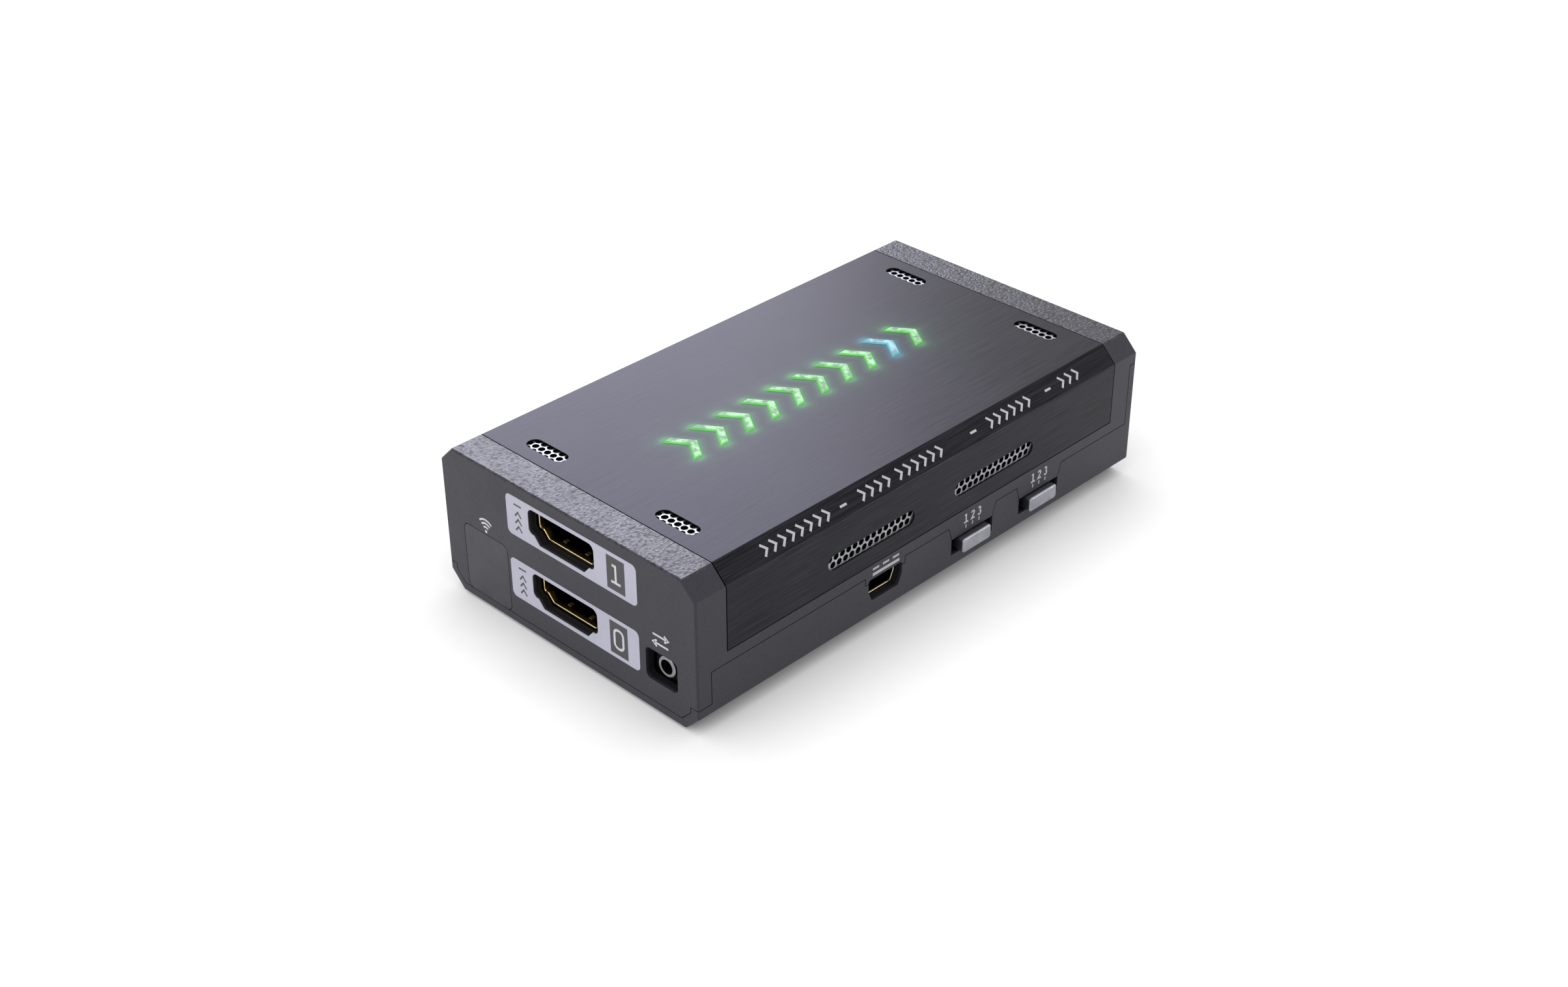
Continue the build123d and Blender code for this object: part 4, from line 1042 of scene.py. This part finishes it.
power_place = near_side(POWER_ALONG, POWER_MIDDLE, -POWER_FRONT)
power_lip = lip(power_line(), POWER_LIP, HIGHLIT_POWER_LIP)
piece("power_socket_lip", [(power_lip, power_place)], HIGHLIT_POWER_LIP)

# Floor, in metres. It glows for the camera and in reflections, with a painted contact shadow: the glow is
# dimmed by ambient occlusion where the walls stand close.
FLOOR = 4.0
FLOOR_GLOW = 0.53
# How far the painted contact shadow reaches from the walls, in metres
PAINTED_SHADOW_REACH = 0.020

floor_mesh = bpy.data.meshes.new("floor")
floor_corners = [(-FLOOR, -FLOOR, 0), (FLOOR, -FLOOR, 0), (FLOOR, FLOOR, 0), (-FLOOR, FLOOR, 0)]
floor_mesh.from_pydata(floor_corners, [], [(0, 1, 2, 3)])
floor = bpy.data.objects.new("floor", floor_mesh)
bpy.context.scene.collection.objects.link(floor)

floor_finish = Finish("pale_floor", (0.70, 0.70, 0.705), 0.9)
floor_finish.set("Specular IOR Level", 0.1)
floor_finish.set("Emission Color", (1.0, 1.0, 1.0))
path = floor_finish.node("ShaderNodeLightPath")
seen = floor_finish.math("MAXIMUM", path.outputs["Is Camera Ray"], path.outputs["Is Glossy Ray"])
seen = floor_finish.math("MAXIMUM", seen, path.outputs["Is Transmission Ray"])
# Painted contact shadow: ambient occlusion near the walls dims the floor's glow
painted_shadow_ao = floor_finish.node("ShaderNodeAmbientOcclusion", samples=8)
painted_shadow_ao.inputs["Distance"].default_value = PAINTED_SHADOW_REACH
floor_glow = floor_finish.math("MULTIPLY", painted_shadow_ao.outputs["AO"], FLOOR_GLOW)
floor_finish.set("Emission Strength", floor_finish.math("MULTIPLY", seen, floor_glow))
floor_mesh.materials.append(floor_finish.material)

# Light from all round, strongest from SKY_TOWARD, and plain white where it is seen or reflected
SKY_TOWARD = (-0.20, 0.55, 0.81)
SKY_LEVELS = (("From Min", -0.6), ("From Max", 0.9), ("To Min", 0.28), ("To Max", 1.0))

world = bpy.data.worlds.new("studio")
bpy.context.scene.world = world
world.use_nodes = True
sky = world.node_tree
sky_place = sky.nodes.new("ShaderNodeTexCoord").outputs["Generated"]
sky_side = sky.nodes.new("ShaderNodeVectorMath")
sky_side.operation = "DOT_PRODUCT"
sky.links.new(sky_place, sky_side.inputs[0])
sky_side.inputs[1].default_value = SKY_TOWARD
sky_level = sky.nodes.new("ShaderNodeMapRange")
sky_level.interpolation_type = "SMOOTHSTEP"
for name, value in SKY_LEVELS:
    sky_level.inputs[name].default_value = value
sky.links.new(sky_side.outputs["Value"], sky_level.inputs["Value"])
sky_path = sky.nodes.new("ShaderNodeLightPath")
strength = sky_level.outputs[0]
for kind in ("Is Camera Ray", "Is Glossy Ray", "Is Transmission Ray"):
    brighter = sky.nodes.new("ShaderNodeMath")
    brighter.operation = "MAXIMUM"
    sky.links.new(strength, brighter.inputs[0])
    sky.links.new(sky_path.outputs[kind], brighter.inputs[1])
    strength = brighter.outputs[0]
sky.links.new(strength, sky.nodes["Background"].inputs["Strength"])
sky.nodes["Background"].inputs["Color"].default_value = (1.0, 1.0, 1.0, 1.0)

# Lamps, in metres, all at one distance from the middle of the object
LAMP_AWAY = 0.9
LAMP_TARGET = (0, 0, 0.014)


def softbox(name, toward, width, height, power, color=(1.0, 1.0, 1.0)):
    """A rectangular light that faces the middle of the object, out of the camera's sight."""
    light = bpy.data.lights.new(name, "AREA")
    light.shape = "RECTANGLE"
    light.size = width
    light.size_y = height
    light.energy = power
    light.color = color
    made = bpy.data.objects.new(name, light)
    made.visible_camera = False
    bpy.context.scene.collection.objects.link(made)
    away = Vector(toward).normalized()
    made.location = Vector(LAMP_TARGET) + away * LAMP_AWAY
    made.rotation_mode = "QUATERNION"
    made.rotation_quaternion = away.to_track_quat("Z", "Y")
    return made


back_key = softbox(
    "back_key", toward=(0.42, 0.73, 0.54), width=0.55, height=0.45, power=5.6, color=(0.84, 0.83, 1.0)
)
back_key.visible_diffuse = False
softbox("left_fill", toward=(-0.9, 0.05, 0.42), width=0.5, height=0.5, power=1.0)
softbox("fold_strip", toward=(0.60, -0.79, 0.08), width=0.3, height=0.12, power=0.8)

# Camera: its distance in metres, and the point that it looks at in millimetres
CAMERA_AZIMUTH = radians(-45.604)
CAMERA_ELEVATION = radians(32.148)
CAMERA_ROLL = radians(-0.194)
CAMERA_AWAY = 0.37023
CAMERA_TARGET = (-8.59, -3.88, 12.4)

camera_data = bpy.data.cameras.new("camera")
camera_data.lens = 50.15
camera_data.sensor_width = 36.0
camera_data.clip_start = 0.01
camera_data.clip_end = 20.0
camera = bpy.data.objects.new("camera", camera_data)
bpy.context.scene.collection.objects.link(camera)
bpy.context.scene.camera = camera

flat = cos(CAMERA_ELEVATION)
back = Vector((sin(CAMERA_AZIMUTH) * flat, -cos(CAMERA_AZIMUTH) * flat, sin(CAMERA_ELEVATION)))
right = (-back).cross(Vector((0, 0, 1))).normalized()
up = back.cross(right)
rolled_right = right * cos(CAMERA_ROLL) + up * sin(CAMERA_ROLL)
rolled_up = up * cos(CAMERA_ROLL) - right * sin(CAMERA_ROLL)
camera_turn = Matrix((rolled_right, rolled_up, back)).transposed().to_4x4()
camera.matrix_world = Matrix.Translation(Vector(CAMERA_TARGET) * MM + back * CAMERA_AWAY) @ camera_turn

bpy.context.scene.view_settings.view_transform = "Standard"
